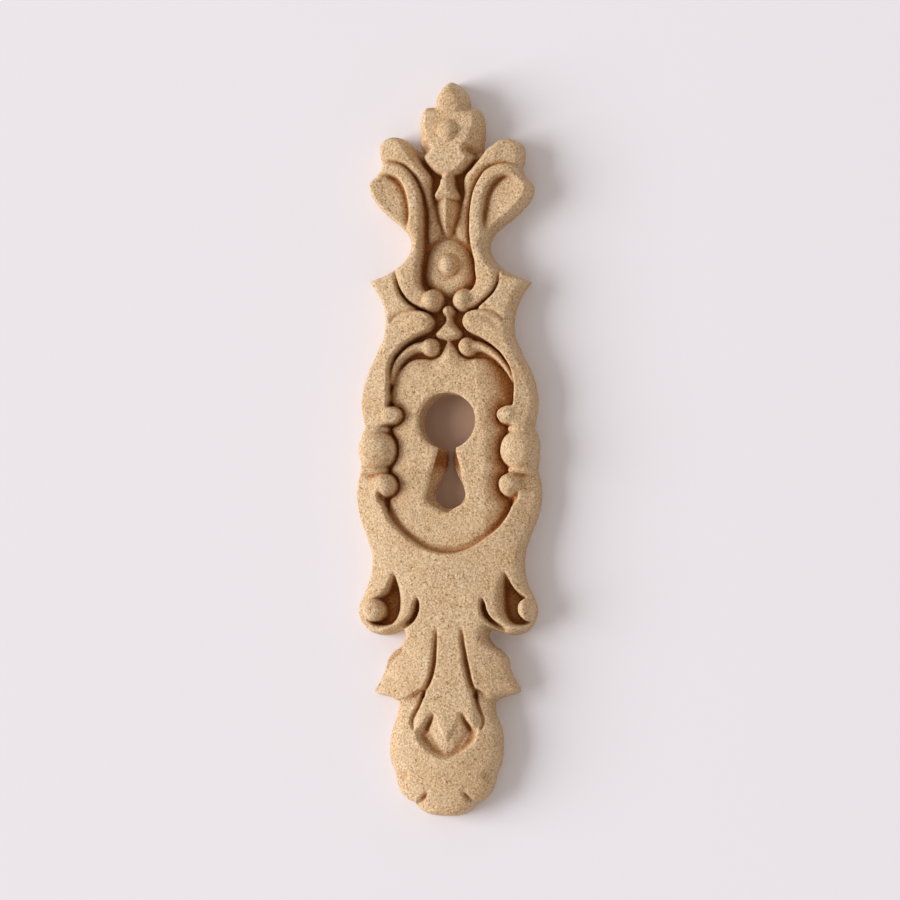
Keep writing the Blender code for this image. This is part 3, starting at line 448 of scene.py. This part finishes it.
class Relief:
    """Heights out of the back over the right half, on a regular grid, mm."""

    def __init__(self, step):
        self.step = step
        self.across_line = np.arange(0, RELIEF_WIDTH, step)
        self.up_line = np.arange(RELIEF_LOW, RELIEF_HIGH, step)
        self.across, self.up = np.meshgrid(self.across_line, self.up_line)
        self.height = np.full(self.across.shape, GROUND)

    def window(self, points, reach=WIDE_MARGIN):
        """The part of the grid that these points and a margin round them cover."""
        low, high = points[:, :2].min(axis=0) - reach, points[:, :2].max(axis=0) + reach
        rows = slice(*np.searchsorted(self.up_line, (low[1], high[1])))
        columns = slice(*np.searchsorted(self.across_line, (low[0], high[0])))
        return rows, columns

    def at(self, part, value):
        """A number as it is, or the part of a value that is given all over the grid."""
        return value[part] if isinstance(value, np.ndarray) else value

    def raise_to(self, part, surface, where):
        """Fuses a surface with the heights, where it counts."""
        height = self.height[part]
        self.height[part] = np.where(where, fused(height, surface), height)

    def roll(self, knots, foot=GROUND, power=2.0):
        """A rounded roll: its section is a superellipse over the distance from the path."""
        path = spline(knots, PATH_STEP)
        part = self.window(path, path[:, 2].max() + MARGIN)
        gap, (half, crest) = nearest(path, self.across[part], self.up[part])
        share = np.clip(gap / half, 0, 1)
        self.raise_to(part, foot + (crest - foot) * (1 - share**power) ** (1 / power), gap < half)

    def dome(self, across, up, radius, crest, foot, power):
        """A ball's cap: a superellipse over the distance from the centre."""
        part = self.window(np.array([[across, up]]), radius + MARGIN)
        gap = np.hypot(self.across[part] - across, self.up[part] - up)
        share = np.clip(gap / radius, 0, 1)
        self.raise_to(part, foot + (crest - foot) * (1 - share**power) ** (1 / power), gap < radius)

    def pad(self, loop, crest, edge, foot=GROUND, section=ROUND):
        """A raised form: its edge follows the section over the distance from its outline, up to the crest.

        The edge's width, the crest and the foot are numbers, or values all over the grid.
        """
        path = spline(loop, PATH_STEP, closed=True)
        part = self.window(path)
        across, up = self.across[part], self.up[part]
        gap, _ = nearest(np.vstack([path, path[:1]]), across, up)
        share = 1 - np.clip(gap / self.at(part, edge), 0, 1)
        rise = (1 - share ** section[0]) ** section[1]
        base = self.at(part, foot)
        self.raise_to(part, base + (self.at(part, crest) - base) * rise, within(path, across, up))

    def hollow(self, loop, floor, wall):
        """A sunk area: the face slopes to the floor by a smoothstep over the width of the wall.

        The width is a number, or a value all over the grid.
        """
        path = spline(loop, PATH_STEP, closed=True)
        part = self.window(path)
        across, up = self.across[part], self.up[part]
        gap, _ = nearest(np.vstack([path, path[:1]]), across, up)
        share = np.clip(gap / self.at(part, wall), 0, 1)
        height = self.height[part]
        sunk = height + (np.minimum(floor, height) - height) * share * share * (3 - 2 * share)
        self.height[part] = np.where(within(path, across, up), sunk, height)

    def groove(self, knots):
        """A pressed line with a parabola for its section, never deeper than the ground."""
        path = spline(knots, PATH_STEP)
        part = self.window(path, path[:, 2].max() + MARGIN)
        gap, (half, depth) = nearest(path, self.across[part], self.up[part])
        cut = self.height[part] - depth * (1 - np.clip(gap / half, 0, 1) ** 2)
        self.height[part] = np.maximum(cut, np.minimum(self.height[part], GROUND))

    def blurred(self, spread):
        """The heights, each averaged with its neighbours under a bell curve, mirrored at the centre line."""
        reach = math.ceil(3 * spread / self.step)
        weights = np.exp(-0.5 * (np.arange(-reach, reach + 1) * self.step / spread) ** 2)
        weights /= weights.sum()
        result = self.height
        for axis, mode in ((0, "edge"), (1, "reflect")):
            margin = [(reach, reach) if axis == side else (0, 0) for side in (0, 1)]
            padded = np.pad(result, margin, mode=mode)
            size = result.shape[axis]
            shifted = (padded.take(range(start, start + size), axis=axis) for start in range(len(weights)))
            result = sum(weight * values for weight, values in zip(weights, shifted))
        return result

    def sampled(self, values, across, up):
        """Values of the grid at any points, read with straight-line blending on the mirrored half."""
        x = np.clip(np.abs(across) / self.step, 0, len(self.across_line) - 1.001)
        y = np.clip((up - self.up_line[0]) / self.step, 0, len(self.up_line) - 1.001)
        column, row = x.astype(int), y.astype(int)
        s, t = x - column, y - row
        below = values[row, column] * (1 - s) + values[row, column + 1] * s
        above = values[row + 1, column] * (1 - s) + values[row + 1, column + 1] * s
        return below * (1 - t) + above * t


def beyond(value, start, most):
    """How far a value goes past the start, up to the most."""
    return np.clip(value - start, 0, most)


def carved_relief():
    """The forms in the order that lets each one lie over those before it."""
    relief = Relief(RELIEF_STEP)
    across, up = relief.across, relief.up

    # Fan: pit round the dome, shoulders, upper leaves, lobes and scroll stems
    relief.hollow(mirrored(DOME_PIT), DOME_PIT_FLOOR, DOME_PIT_WALL)
    shoulder_top = SHOULDER_TOP - SHOULDER_FALL * beyond(across, SHOULDER_FALL_FROM, FALL_REACH)
    relief.pad(SHOULDER, shoulder_top, SHOULDER_EDGE)
    rise = np.clip((up - LEAF_RISE_FROM) / LEAF_RISE_OVER, 0, 1)
    leaf_top = LEAF_TAIL_TOP + LEAF_RISE * rise - LEAF_FALL * beyond(across, LEAF_FALL_FROM, FALL_REACH)
    relief.pad(UPPER_LEAF, leaf_top, LEAF_EDGE)
    from_stem = LOBE_WAY[0] * (across - LOBE_RISE_FROM[0]) + LOBE_WAY[1] * (up - LOBE_RISE_FROM[1])
    lobe_top = LOBE_TOP + LOBE_RISE * np.clip(from_stem, 0, LOBE_REACH)
    relief.pad(LOBE, lobe_top, LOBE_EDGE, foot=LOBE_FOOT)
    relief.roll(LOBE_SEAM)
    relief.roll(STEM, power=STEM_POWER)
    relief.dome(*CURL_BALL)

    # Finial: cone, bud with its facets, neck, drop and bead
    relief.roll(CONE, power=CONE_POWER)
    bud_top = BUD_TOP + hump(across, up, *BUD_KNOB)
    side, foot = np.interp(up, *BUD_EDGE), np.interp(up, *BUD_FOOT)
    relief.pad(mirrored(BUD), bud_top, side, foot=foot, section=FACET)
    relief.roll(NECK)
    relief.pad(mirrored(DROP), DROP_TOP, DROP_EDGE)
    relief.dome(*BUD_BEAD)
    relief.groove(BUD_CREASE)

    # Dome with its bead, and the small inner finial
    relief.pad(mirrored(DOME_FOOT), DOME_FOOT_TOP, DOME_FOOT_EDGE, section=CUSHION)
    relief.dome(*DOME_BEAD)
    relief.dome(*FINIAL_BALL)
    relief.roll(INNER_NECK)
    relief.pad(mirrored(INNER_BELL), BELL_TOP, BELL_EDGE)

    # Cushioned panel, and the oval frame round it
    low = np.clip((PANEL_LOW_FROM - up) / PANEL_LOW_OVER, 0, 1)
    panel_top, panel_foot = PANEL_TOP + PANEL_LOW_TOP * low, PANEL_FOOT + PANEL_LOW_FOOT * low
    relief.pad(mirrored(PANEL), panel_top, PANEL_EDGE, foot=panel_foot, section=CUSHION)
    frame_top = FRAME_TOP - FRAME_FALL * beyond(across, FRAME_FALL_FROM, FRAME_BEND - FRAME_FALL_FROM)
    frame_top -= FRAME_OUTER_FALL * beyond(across, FRAME_BEND, FALL_REACH)
    relief.pad(FRAME, frame_top, FRAME_EDGE)
    relief.roll(FRAME_ARM, power=ARM_POWER)
    relief.dome(*HOOK_KNOB)
    relief.roll(CRESCENT)
    relief.dome(*CRESCENT_BALL)
    relief.roll(COLLAR_ABOVE)
    relief.roll(COLLAR_BELOW)
    relief.dome(*SIDE_BEAD)

    # Shell with its hollow, and the smooth skin of the body, tongue and pointed leaves over it
    upper = np.clip((SHELL_EDGE_FROM - up) / SHELL_EDGE_OVER, 0, 1)
    shell_top = SHELL_TOP - SHELL_CURVE_ACROSS * across**2 - SHELL_CURVE_UP * (up + SHELL_MIDDLE) ** 2
    relief.pad(mirrored(SHELL), shell_top, SHELL_EDGE + SHELL_UPPER_EDGE * upper)
    relief.hollow(mirrored(SHELL_HOLLOW), SHELL_FLOOR, SHELL_WALL)
    outer = np.clip((up - SIDE_EDGE_FROM[1]) / SIDE_EDGE_OVER[1], 0, 1)
    outer *= np.clip((across - SIDE_EDGE_FROM[0]) / SIDE_EDGE_OVER[0], 0, 1)
    leaf = POINTED_LEAF_FALL * beyond(across, POINTED_LEAF_FROM[0], POINTED_LEAF_OVER[0])
    leaf *= np.clip((POINTED_LEAF_FROM[1] - up) / POINTED_LEAF_OVER[1], 0, 1)
    skin_top = SKIN_TOP - SKIN_CURVE * across**2 - leaf
    skin_top -= SKIN_FALL * beyond(across, SKIN_FALL_FROM, FALL_REACH)
    relief.pad(mirrored(SKIN), skin_top, SKIN_EDGE + SKIN_SIDE_EDGE * outer)
    relief.hollow(SIDE_PIT, PIT_FLOOR, np.interp(across, *SIDE_PIT_WALL))
    relief.dome(*VOLUTE_BALL)
    relief.dome(*LOWER_BALL)
    relief.roll(NOSE, foot=NOSE_FOOT)

    grooves = (
        PANEL_DITCH, BALL_NOTCH, SLIT, TONGUE_SIDE, TONGUE_EDGE, TONGUE_LINE, TONGUE_NOTCH, NOSE_EDGE,
        ARM_CREASE, RIM_DENT, FOOT_SLIT, LEAF_DENT,
    )
    for line in grooves:
        relief.groove(line)
    relief.height = relief.blurred(SOFTENING)
    return relief


def keyhole_half(radius, slot):
    """Right half of a keyhole from the top: the round down to the slot's corner, then the slot's side."""
    corner = math.atan2(-math.sqrt(radius**2 - slot[0][0] ** 2), slot[0][0])
    turn = np.linspace(math.pi / 2, corner, ROUND_STEPS)
    ring = np.stack([radius * np.cos(turn), ROUND_UP + radius * np.sin(turn)], axis=1)
    side = spline(slot, SLOT_STEP)
    run = np.r_[0, np.cumsum(np.hypot(*np.diff(side, axis=0).T))]
    at = np.linspace(0, run[-1], SLOT_STEPS + 1)[1:]
    side = np.stack([np.interp(at, run, side[:, 0]), np.interp(at, run, side[:, 1])], axis=1)
    side[-1, 0] = 0
    ring[0, 0] = 0
    return np.vstack([ring, side])


def inset(loop, distance):
    """A closed loop moved inwards along its normals."""
    tangent = np.roll(loop, -1, axis=0) - np.roll(loop, 1, axis=0)
    tangent /= np.linalg.norm(tangent, axis=1, keepdims=True) + 1e-12
    return loop + distance * np.stack([tangent[:, 1], -tangent[:, 0]], axis=1)


def sheet_points(outline, keyhole):
    """Loose points of the face: rings just inside the rim, and a staggered grid over the rest."""
    columns = np.arange(-SHEET_HALF_WIDTH, SHEET_HALF_WIDTH, SHEET_STEP)
    rows = np.arange(SHEET_LOW, SHEET_HIGH, SHEET_STEP * SHEET_ROW)
    across, up = np.meshgrid(columns, rows)
    across = across + SHEET_STEP * 0.5 * (np.arange(len(across)) % 2)[:, None]
    points, spare = [], []
    for distance in RIM_RINGS:
        for loop, side in ((outline, 1), (keyhole, -1)):
            points.append(inset(loop, side * distance))
            spare.append(np.full(len(loop), distance * RING_CLEAR))
    points.append(np.stack([across.ravel(), up.ravel()], axis=1))
    spare.append(np.full(across.size, RIM_RINGS[-1] + SHEET_STEP * GRID_CLEAR))
    points, spare = np.vstack(points), np.concatenate(spare)
    gap = rim_gap(points, outline, keyhole)
    keep = (gap > spare) & within(outline, *points.T) & ~within(keyhole, *points.T)
    return points[keep]


def rim_gap(points, outline, keyhole):
    """Distance from each point to the nearer of the outline and the keyhole."""
    gaps = [nearest(np.vstack([loop, loop[:1]]), *points.T)[0] for loop in (outline, keyhole)]
    return np.minimum(*gaps)


def triangulated(loops, points):
    """Triangles over the outer loop less the inner one, as even as can be with the loops' edges kept."""
    everything = np.vstack([*loops, points]) if len(points) else np.vstack(loops)
    edges, first = [], 0
    for loop in loops:
        index = np.arange(first, first + len(loop))
        edges += list(zip(index.tolist(), np.roll(index, -1).tolist()))
        first += len(loop)
    result = delaunay_2d_cdt([Vector(p) for p in everything], edges, [], 1, 1e-6)
    triangles = np.array(result[2])
    middle = everything[triangles].mean(axis=1)
    return triangles[~within(loops[1], *middle.T)]


def drift(up):
    """How far right of the centre line the forms sit at each height."""
    return np.interp(up, *np.array(DRIFT)[::-1].T)


def panel_fall(across, up):
    """How far the panel's right side falls below its mirror image: a straight slope from where it starts."""
    start = np.interp(up, *PANEL_FALL_START)
    inside = within(spline(mirrored(PANEL), PATH_STEP, closed=True), across, up)
    return np.where(inside, PANEL_LEAN * beyond(across, start, FALL_REACH), 0)


def face_heights(relief, points, outline, keyhole):
    """Height of the face at each point: the relief, brought down to the wall's top round the rim.

    The limit round the rim is a quarter of an ellipse. The keyhole has a small worn lip, and the whole
    face is slightly lumpy, as pressed flour is.
    """
    rim = nearest(np.vstack([outline, outline[:1]]), *points.T)[0]
    share = np.clip(rim / EDGE_ROLL, 0, 1)
    limit = WALL_TOP + EDGE_RISE * np.sqrt(1 - (1 - share) ** 2)
    across, up = points[:, 0] - drift(points[:, 1]), points[:, 1]
    carved = relief.sampled(relief.height, across, up) - panel_fall(across, up)
    height = -fused(-carved, -limit, EDGE_FILLET)
    lip = nearest(np.vstack([keyhole, keyhole[:1]]), *points.T)[0]
    height -= KEYHOLE_LIP * np.clip(1 - lip / (2 * KEYHOLE_LIP), 0, 1) ** 2
    return height + sum(reach * value_noise(*points.T, size, seed) for size, reach, seed in SURFACE_LUMPS)


def wall(upper, lower, heights, shares):
    """Rings between two loops: each is a blend of both at its own share, at its own height."""
    rings = [np.column_stack([lower + (upper - lower) * share, heights * level]) for level, share in shares]
    return np.array(rings)


def strip(upper, lower):
    """Quads between two rings of indices."""
    return np.stack([upper, np.roll(upper, -1), np.roll(lower, -1), lower], axis=1)


def mould_shift(points):
    """How the moulded piece departs from its drawing: the fan leans a little, and every edge wavers."""
    across, up = points[:, 0], points[:, 1]
    lean = np.clip((up - FAN_LEAN_FROM) / FAN_LEAN_OVER, 0, 1)
    shift = np.stack([FAN_LEAN_RIGHT * lean, -FAN_LEAN_DOWN * lean * across / FAN_LEAN_OVER], axis=1)
    for size, reach, seed in EDGE_WAVERS:
        shift[:, 0] += reach * value_noise(across, up, size, seed)
        shift[:, 1] += reach * value_noise(across, up, size, seed + 1)
    return shift


def relief_piece():
    """The whole piece as one closed mesh, with two attributes: painted shade in each recess and crease, and
    the keyhole walls' brown stain, burnt darkest at the slot's neck.
    """
    outline = outline_loop(OUTLINE_STEP)
    front_key = mirrored(keyhole_half(ROUND_RADIUS, SLOT_FRONT))
    back_key = mirrored(keyhole_half(ROUND_RADIUS - ROUND_TAPER, SLOT_BACK))
    relief = carved_relief()
    loose = sheet_points(outline, front_key)
    flat = np.vstack([outline, front_key, loose])
    face = triangulated([outline, front_key], loose)
    height = face_heights(relief, flat, outline, front_key)
    place = flat[:, 0] - drift(flat[:, 1]), flat[:, 1]
    # Painted shade: deeper where the face lies under its own average, and on the panel's falling right side;
    # none on the rim
    from_rim = nearest(np.vstack([outline, outline[:1]]), *flat.T)[0]
    inside = np.clip((from_rim - RIM_CLEAR) / RIM_FADE, 0, 1)
    sunk = relief.sampled(relief.blurred(RECESS_SHADE_SPREAD) - relief.height, *place) * inside
    sunk += FALL_SHADE * panel_fall(*place)
    crease = relief.sampled(relief.blurred(CREASE_SHADE_SPREAD) - relief.height, *place) * inside

    rim, hole = len(outline), len(front_key)
    outer = wall(outline, outline, height[:rim], RIM_WALL)
    inner = wall(front_key, back_key, height[rim : rim + hole], KEYHOLE_WALL)
    vertices = np.vstack([np.column_stack([flat, height]), outer.reshape(-1, 3), inner.reshape(-1, 3)])
    outer_index = np.arange(outer.shape[0] * rim).reshape(-1, rim) + len(flat)
    inner_index = np.arange(inner.shape[0] * hole).reshape(-1, hole) + len(flat) + outer_index.size
    outer_rings = [np.arange(rim), *outer_index]
    inner_rings = [np.arange(rim, rim + hole), *inner_index]
    quads = [strip(b, a) for a, b in zip(outer_rings[:-1], outer_rings[1:])]
    quads += [strip(a, b) for a, b in zip(inner_rings[:-1], inner_rings[1:])]
    back = triangulated([outline, back_key], [])
    back_index = np.concatenate([outer_index[-1], inner_index[-1]])
    back = back_index[back]

    shift = mould_shift(vertices[:, :2])
    right, higher = vertices[:, 0] + shift[:, 0], vertices[:, 1] + shift[:, 1]
    places = np.column_stack([right, -vertices[:, 2], higher]) * MM
    faces = [*face.tolist(), *np.vstack(quads).tolist(), *back[:, ::-1].tolist()]
    mesh = bpy.data.meshes.new("moulded_escutcheon")
    mesh.from_pydata(places.tolist(), [], faces)
    depth, corner = np.zeros(len(vertices)), np.zeros(len(vertices))
    # Painted shade on the face
    depth[: len(flat)] = np.clip(sunk / RECESS_SHADE_FULL, 0, 1)
    corner[: len(flat)] = np.clip(crease / CREASE_SHADE_FULL, 0, 1)
    key_up = inner.reshape(-1, 3)[:, 1]
    burnt = np.exp(-(((key_up - BURN_UP) / BURN_REACH) ** 2))
    depth[len(flat) + outer_index.size :] = HOLE_STAIN + BURN_STAIN * burnt
    corner[len(flat) + outer_index.size :] = BURN_CREASE * burnt
    for name, values in (("recess", depth), ("crease", corner)):
        attribute = mesh.attributes.new(name, "FLOAT", "POINT")
        attribute.data.foreach_set("value", values.astype(np.float32))
    mesh.shade_smooth()
    mesh.set_sharp_from_angle(angle=math.radians(SHARP_EDGE))
    piece = bpy.data.objects.new("moulded_escutcheon", mesh)
    bpy.context.scene.collection.objects.link(piece)
    return piece


def srgb(code):
    """A hex colour as linear red, green, blue and full alpha."""
    channels = [int(code[i : i + 2], 16) / 255 for i in (0, 2, 4)]
    return (*[c / 12.92 if c <= 0.04045 else ((c + 0.055) / 1.055) ** 2.4 for c in channels], 1.0)


def add_node(tree, kind, settings=None, inputs=None):
    """Adds a node, sets its properties and fills or links its inputs."""
    node = tree.nodes.new(kind)
    for name, value in (settings or {}).items():
        setattr(node, name, value)
    for name, value in (inputs or {}).items():
        if isinstance(value, bpy.types.NodeSocket):
            tree.links.new(value, node.inputs[name])
        else:
            node.inputs[name].default_value = value
    return node


def per_metre(size_mm):
    """Texture scale whose cells are about this many millimetres."""
    return 1 / (size_mm * MM)


def noise(tree, place, size_mm, detail):
    """Fractal noise whose features are about this many millimetres, from 0 to 1."""
    inputs = {"Vector": place, "Scale": per_metre(size_mm), "Detail": detail, "Roughness": NOISE_ROUGHNESS}
    return add_node(tree, "ShaderNodeTexNoise", None, inputs).outputs["Fac"]


def share(tree, value, start, stop, most):
    """A value's rise from start to stop, as a share from 0 to the most."""
    inputs = {"Value": value, "From Min": start, "From Max": stop, "To Min": 0.0, "To Max": most}
    return add_node(tree, "ShaderNodeMapRange", {"clamp": True}, inputs).outputs["Result"]


def blended(tree, kind, factor, first, second):
    """Two colours mixed or multiplied, by a factor."""
    settings = {"data_type": "RGBA", "blend_type": kind}
    return add_node(tree, "ShaderNodeMix", settings, {0: factor, 6: first, 7: second}).outputs[2]


# Pressed wood flour: sizes of its patterns, mm. The real crumbs and flecks are half as large and would
# not show at the photograph's distance, so they are drawn as coarse as they need to be to show.
CRUMB_SIZE, CRUMB_DETAIL = 0.3, 3.0
FLECK_SIZE, FLECK_DETAIL = 0.4, 1.0
CLOUD_SIZE, CLOUD_DETAIL = 4.0, 2.0
PORE_SIZE, PORE_DEPTH = 0.7, 0.35
SURFACE_DEPTH, SURFACE_STRENGTH = 0.2, 0.7
CRUMB_DARK, CRUMB_LIGHT = "B08E64", "EED3B0"
FLECK_COLOUR = "8C5C30"
CLOUD_COLOUR = "EAD2AE"
# Painted shade in creases and recesses, which on the keyhole's walls is its burnt brown stain
CREASE_SHADE_AND_BURN_COLOUR = "D4A868"
RECESS_SHADE_AND_BURN_COLOUR = "C0904C"
FLOUR_ROUGHNESS, FLOUR_SHINE, FLOUR_IOR = 0.86, 0.25, 1.5
NOISE_ROUGHNESS = 0.6

# Where each pattern's value starts to count, where it counts in full, and how much it then does
CRUMB_RANGE = (0.32, 0.68, 1.0)
FLECK_RANGE = (0.64, 0.69, 0.75)
CLOUD_RANGE = (0.35, 0.65, 0.3)
# Painted shade in creases and recesses, and the keyhole walls' burnt stain
CREASE_SHADE_AND_BURN_RANGE = (0.1, 1.0, 0.7)
RECESS_SHADE_AND_BURN_RANGE = (0.08, 0.85, 0.9)


def pressed_wood_flour():
    """Wood flour and glue, pressed hot in a mould and left bare: pale tan and dead matt.

    The eye gets a fine sandy speckle from the crumbs, a scatter of darker bark flecks, faint clouds
    of a warmer tan, and small pores. Recesses and creases get painted shade in a golden brown, and the
    keyhole's walls a brown stain, burnt darkest at the slot's neck.
    """
    material = bpy.data.materials.new("pressed_wood_flour")
    material.use_nodes = True
    tree = material.node_tree
    shader = tree.nodes["Principled BSDF"]
    place = add_node(tree, "ShaderNodeTexCoord").outputs["Object"]
    recess = add_node(tree, "ShaderNodeAttribute", {"attribute_name": "recess"}).outputs["Fac"]
    crease = add_node(tree, "ShaderNodeAttribute", {"attribute_name": "crease"}).outputs["Fac"]

    crumbs = noise(tree, place, CRUMB_SIZE, CRUMB_DETAIL)
    clouds = noise(tree, place, CLOUD_SIZE, CLOUD_DETAIL)
    flecks = noise(tree, place, FLECK_SIZE, FLECK_DETAIL)
    cells = {"Vector": place, "Scale": per_metre(PORE_SIZE)}
    pores = add_node(tree, "ShaderNodeTexVoronoi", None, cells).outputs["Distance"]

    # Sandy speckle, then the few dark flecks: only the highest values of their noise
    colour = blended(tree, "MIX", share(tree, crumbs, *CRUMB_RANGE), srgb(CRUMB_DARK), srgb(CRUMB_LIGHT))
    colour = blended(tree, "MIX", share(tree, flecks, *FLECK_RANGE), colour, srgb(FLECK_COLOUR))
    # Clouds a few millimetres wide keep the tan from looking flat
    colour = blended(tree, "MULTIPLY", share(tree, clouds, *CLOUD_RANGE), colour, srgb(CLOUD_COLOUR))
    # Painted shade in the creases and recesses, golden brown; on the keyhole's walls the same tints are its
    # burnt brown stain
    colour = blended(tree, "MULTIPLY", share(tree, crease, *CREASE_SHADE_AND_BURN_RANGE), colour, srgb(CREASE_SHADE_AND_BURN_COLOUR))
    colour = blended(tree, "MULTIPLY", share(tree, recess, *RECESS_SHADE_AND_BURN_RANGE), colour, srgb(RECESS_SHADE_AND_BURN_COLOUR))
    tree.links.new(colour, shader.inputs["Base Color"])

    # Crumbs stand out and pores sink in, so the matt face breaks up the light
    pore_depth = share(tree, pores, PORE_DEPTH, 0.0, -PORE_DEPTH)
    surface = add_node(tree, "ShaderNodeMath", {"operation": "ADD"}, {0: pore_depth, 1: crumbs}).outputs[0]
    relief = {"Height": surface, "Strength": SURFACE_STRENGTH, "Distance": SURFACE_DEPTH * MM}
    bump = add_node(tree, "ShaderNodeBump", None, relief)
    tree.links.new(bump.outputs["Normal"], shader.inputs["Normal"])
    shader.inputs["Roughness"].default_value = FLOUR_ROUGHNESS
    shader.inputs["Specular IOR Level"].default_value = FLOUR_SHINE
    shader.inputs["IOR"].default_value = FLOUR_IOR
    return material


# Studio: sizes and places in metres, turns in degrees
# The card's own colour, and the colour of the painted shade behind the keyhole
CARD_COLOUR, KEYHOLE_SHADE_COLOUR = "E9E5E9", "A88C7A"
CARD_ROUGHNESS, CARD_SHINE = 0.9, 0.1
BACKDROP_HALF = 0.26
BACKDROP_GAP = 0.0002
CONTACT_REACH = 0.0005
# Size and place of the painted shade behind the keyhole
KEYHOLE_SHADE_HALF_WIDTH = 0.0065
KEYHOLE_SHADE_HALF_HEIGHT = 0.012
KEYHOLE_SHADE_MIDDLE = 0.018
LOOK_AT = Vector((-0.00026, 0.0, 0.01907))
CAMERA_AZIMUTH = 12.0
CAMERA_ELEVATION = -5.0
CAMERA_ROLL = 0.5
CAMERA_DISTANCE = 1.0
FIELD_WIDTH = 0.1474
SENSOR = 36.0  # mm
KEY_AZIMUTH = -61.0
KEY_ELEVATION = -3.0
KEY_DISTANCE = 6.0
KEY_SIZE = 4.0
KEY_POWER = 410.0  # watts
KEY_COLOUR = (0.97, 0.985, 1.03)  # a little cooler than white
ROOM_COLOUR, ROOM_STRENGTH = "F5EFEA", 0.6


def backdrop_paper():
    """Pale lilac-grey matt card, with painted shade behind the keyhole: a brown patch that stands in for the
    dark seen through it.

    It is seen from its front only, and a ray that starts right on it passes through, so that the
    part's flat back can be looked at and gets light.
    """
    material = bpy.data.materials.new("backdrop_card")
    material.use_nodes = True
    tree = material.node_tree
    shader = tree.nodes["Principled BSDF"]
    place = add_node(tree, "ShaderNodeTexCoord").outputs["Object"]
    parts = add_node(tree, "ShaderNodeSeparateXYZ", None, {0: place})
    # Painted shade: the card turns brown in a rectangle behind the keyhole
    near = []
    for axis, middle, half in (("X", 0.0, KEYHOLE_SHADE_HALF_WIDTH), ("Z", KEYHOLE_SHADE_MIDDLE, KEYHOLE_SHADE_HALF_HEIGHT)):
        compared = {0: parts.outputs[axis], 1: middle, 2: half}
        near.append(add_node(tree, "ShaderNodeMath", {"operation": "COMPARE"}, compared).outputs[0])
    keyhole_shade = add_node(tree, "ShaderNodeMath", {"operation": "MULTIPLY"}, {0: near[0], 1: near[1]}).outputs[0]
    colour = blended(tree, "MIX", keyhole_shade, srgb(CARD_COLOUR), srgb(KEYHOLE_SHADE_COLOUR))
    tree.links.new(colour, shader.inputs["Base Color"])
    shader.inputs["Roughness"].default_value = CARD_ROUGHNESS
    shader.inputs["Specular IOR Level"].default_value = CARD_SHINE
    behind = add_node(tree, "ShaderNodeNewGeometry").outputs["Backfacing"]
    length = add_node(tree, "ShaderNodeLightPath").outputs["Ray Length"]
    touching = add_node(tree, "ShaderNodeMath", {"operation": "LESS_THAN"}, {0: length, 1: CONTACT_REACH})
    either_way = {0: behind, 1: touching.outputs[0]}
    through = add_node(tree, "ShaderNodeMath", {"operation": "MAXIMUM"}, either_way).outputs[0]
    clear = add_node(tree, "ShaderNodeBsdfTransparent").outputs[0]
    either = add_node(tree, "ShaderNodeMixShader", None, {0: through, 1: shader.outputs[0], 2: clear})
    tree.links.new(either.outputs[0], tree.nodes["Material Output"].inputs["Surface"])
    return material


def backdrop():
    """A wide flat card just behind the part's back: the pale surface that it was photographed on."""
    y = BOX_HIGH[1] + BACKDROP_GAP
    half = BACKDROP_HALF
    corners = [(-half, y, -half), (half, y, -half), (half, y, half), (-half, y, half)]
    mesh = bpy.data.meshes.new("backdrop")
    mesh.from_pydata(corners, [], [(0, 1, 2, 3)])
    mesh.materials.append(backdrop_paper())
    card = bpy.data.objects.new("backdrop", mesh)
    bpy.context.scene.collection.objects.link(card)


def direction(azimuth, elevation):
    """Unit vector from the object, with azimuth 0 straight out of the front and positive to the right."""
    a, e = math.radians(azimuth), math.radians(elevation)
    return Vector((math.sin(a) * math.cos(e), -math.cos(a) * math.cos(e), math.sin(e)))


def lighting():
    """One large soft source low on the left, which rakes over the relief, and a pale room that fills."""
    light = bpy.data.lights.new("soft_key", "AREA")
    light.size = KEY_SIZE
    light.energy = KEY_POWER
    light.color = KEY_COLOUR
    lamp = bpy.data.objects.new("soft_key", light)
    away = direction(KEY_AZIMUTH, KEY_ELEVATION)
    lamp.location = LOOK_AT + away * KEY_DISTANCE
    lamp.rotation_euler = away.to_track_quat("Z", "Y").to_euler()
    bpy.context.scene.collection.objects.link(lamp)
    world = bpy.data.worlds.new("pale_room")
    bpy.context.scene.world = world
    world.use_nodes = True
    background = world.node_tree.nodes["Background"]
    background.inputs["Color"].default_value = srgb(ROOM_COLOUR)
    background.inputs["Strength"].default_value = ROOM_STRENGTH


def camera():
    """The photograph's view: far off, a little from the right and a little from below."""
    data = bpy.data.cameras.new("camera")
    data.sensor_width = SENSOR
    data.lens = SENSOR * CAMERA_DISTANCE / FIELD_WIDTH
    eye = bpy.data.objects.new("camera", data)
    away = direction(CAMERA_AZIMUTH, CAMERA_ELEVATION)
    turn = away.to_track_quat("Z", "Y").to_matrix().to_4x4()
    roll = Matrix.Rotation(math.radians(CAMERA_ROLL), 4, "Z")
    eye.matrix_world = Matrix.Translation(LOOK_AT + away * CAMERA_DISTANCE) @ turn @ roll
    bpy.context.scene.collection.objects.link(eye)
    bpy.context.scene.camera = eye


def build():
    """The camera, the moulded piece in its place, and the stage round it."""
    camera()
    piece = relief_piece()
    piece.data.materials.append(pressed_wood_flour())
    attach(piece, "root")
    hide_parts(NODE)
    backdrop()
    lighting()
    bpy.context.scene.view_settings.view_transform = "Standard"


build()
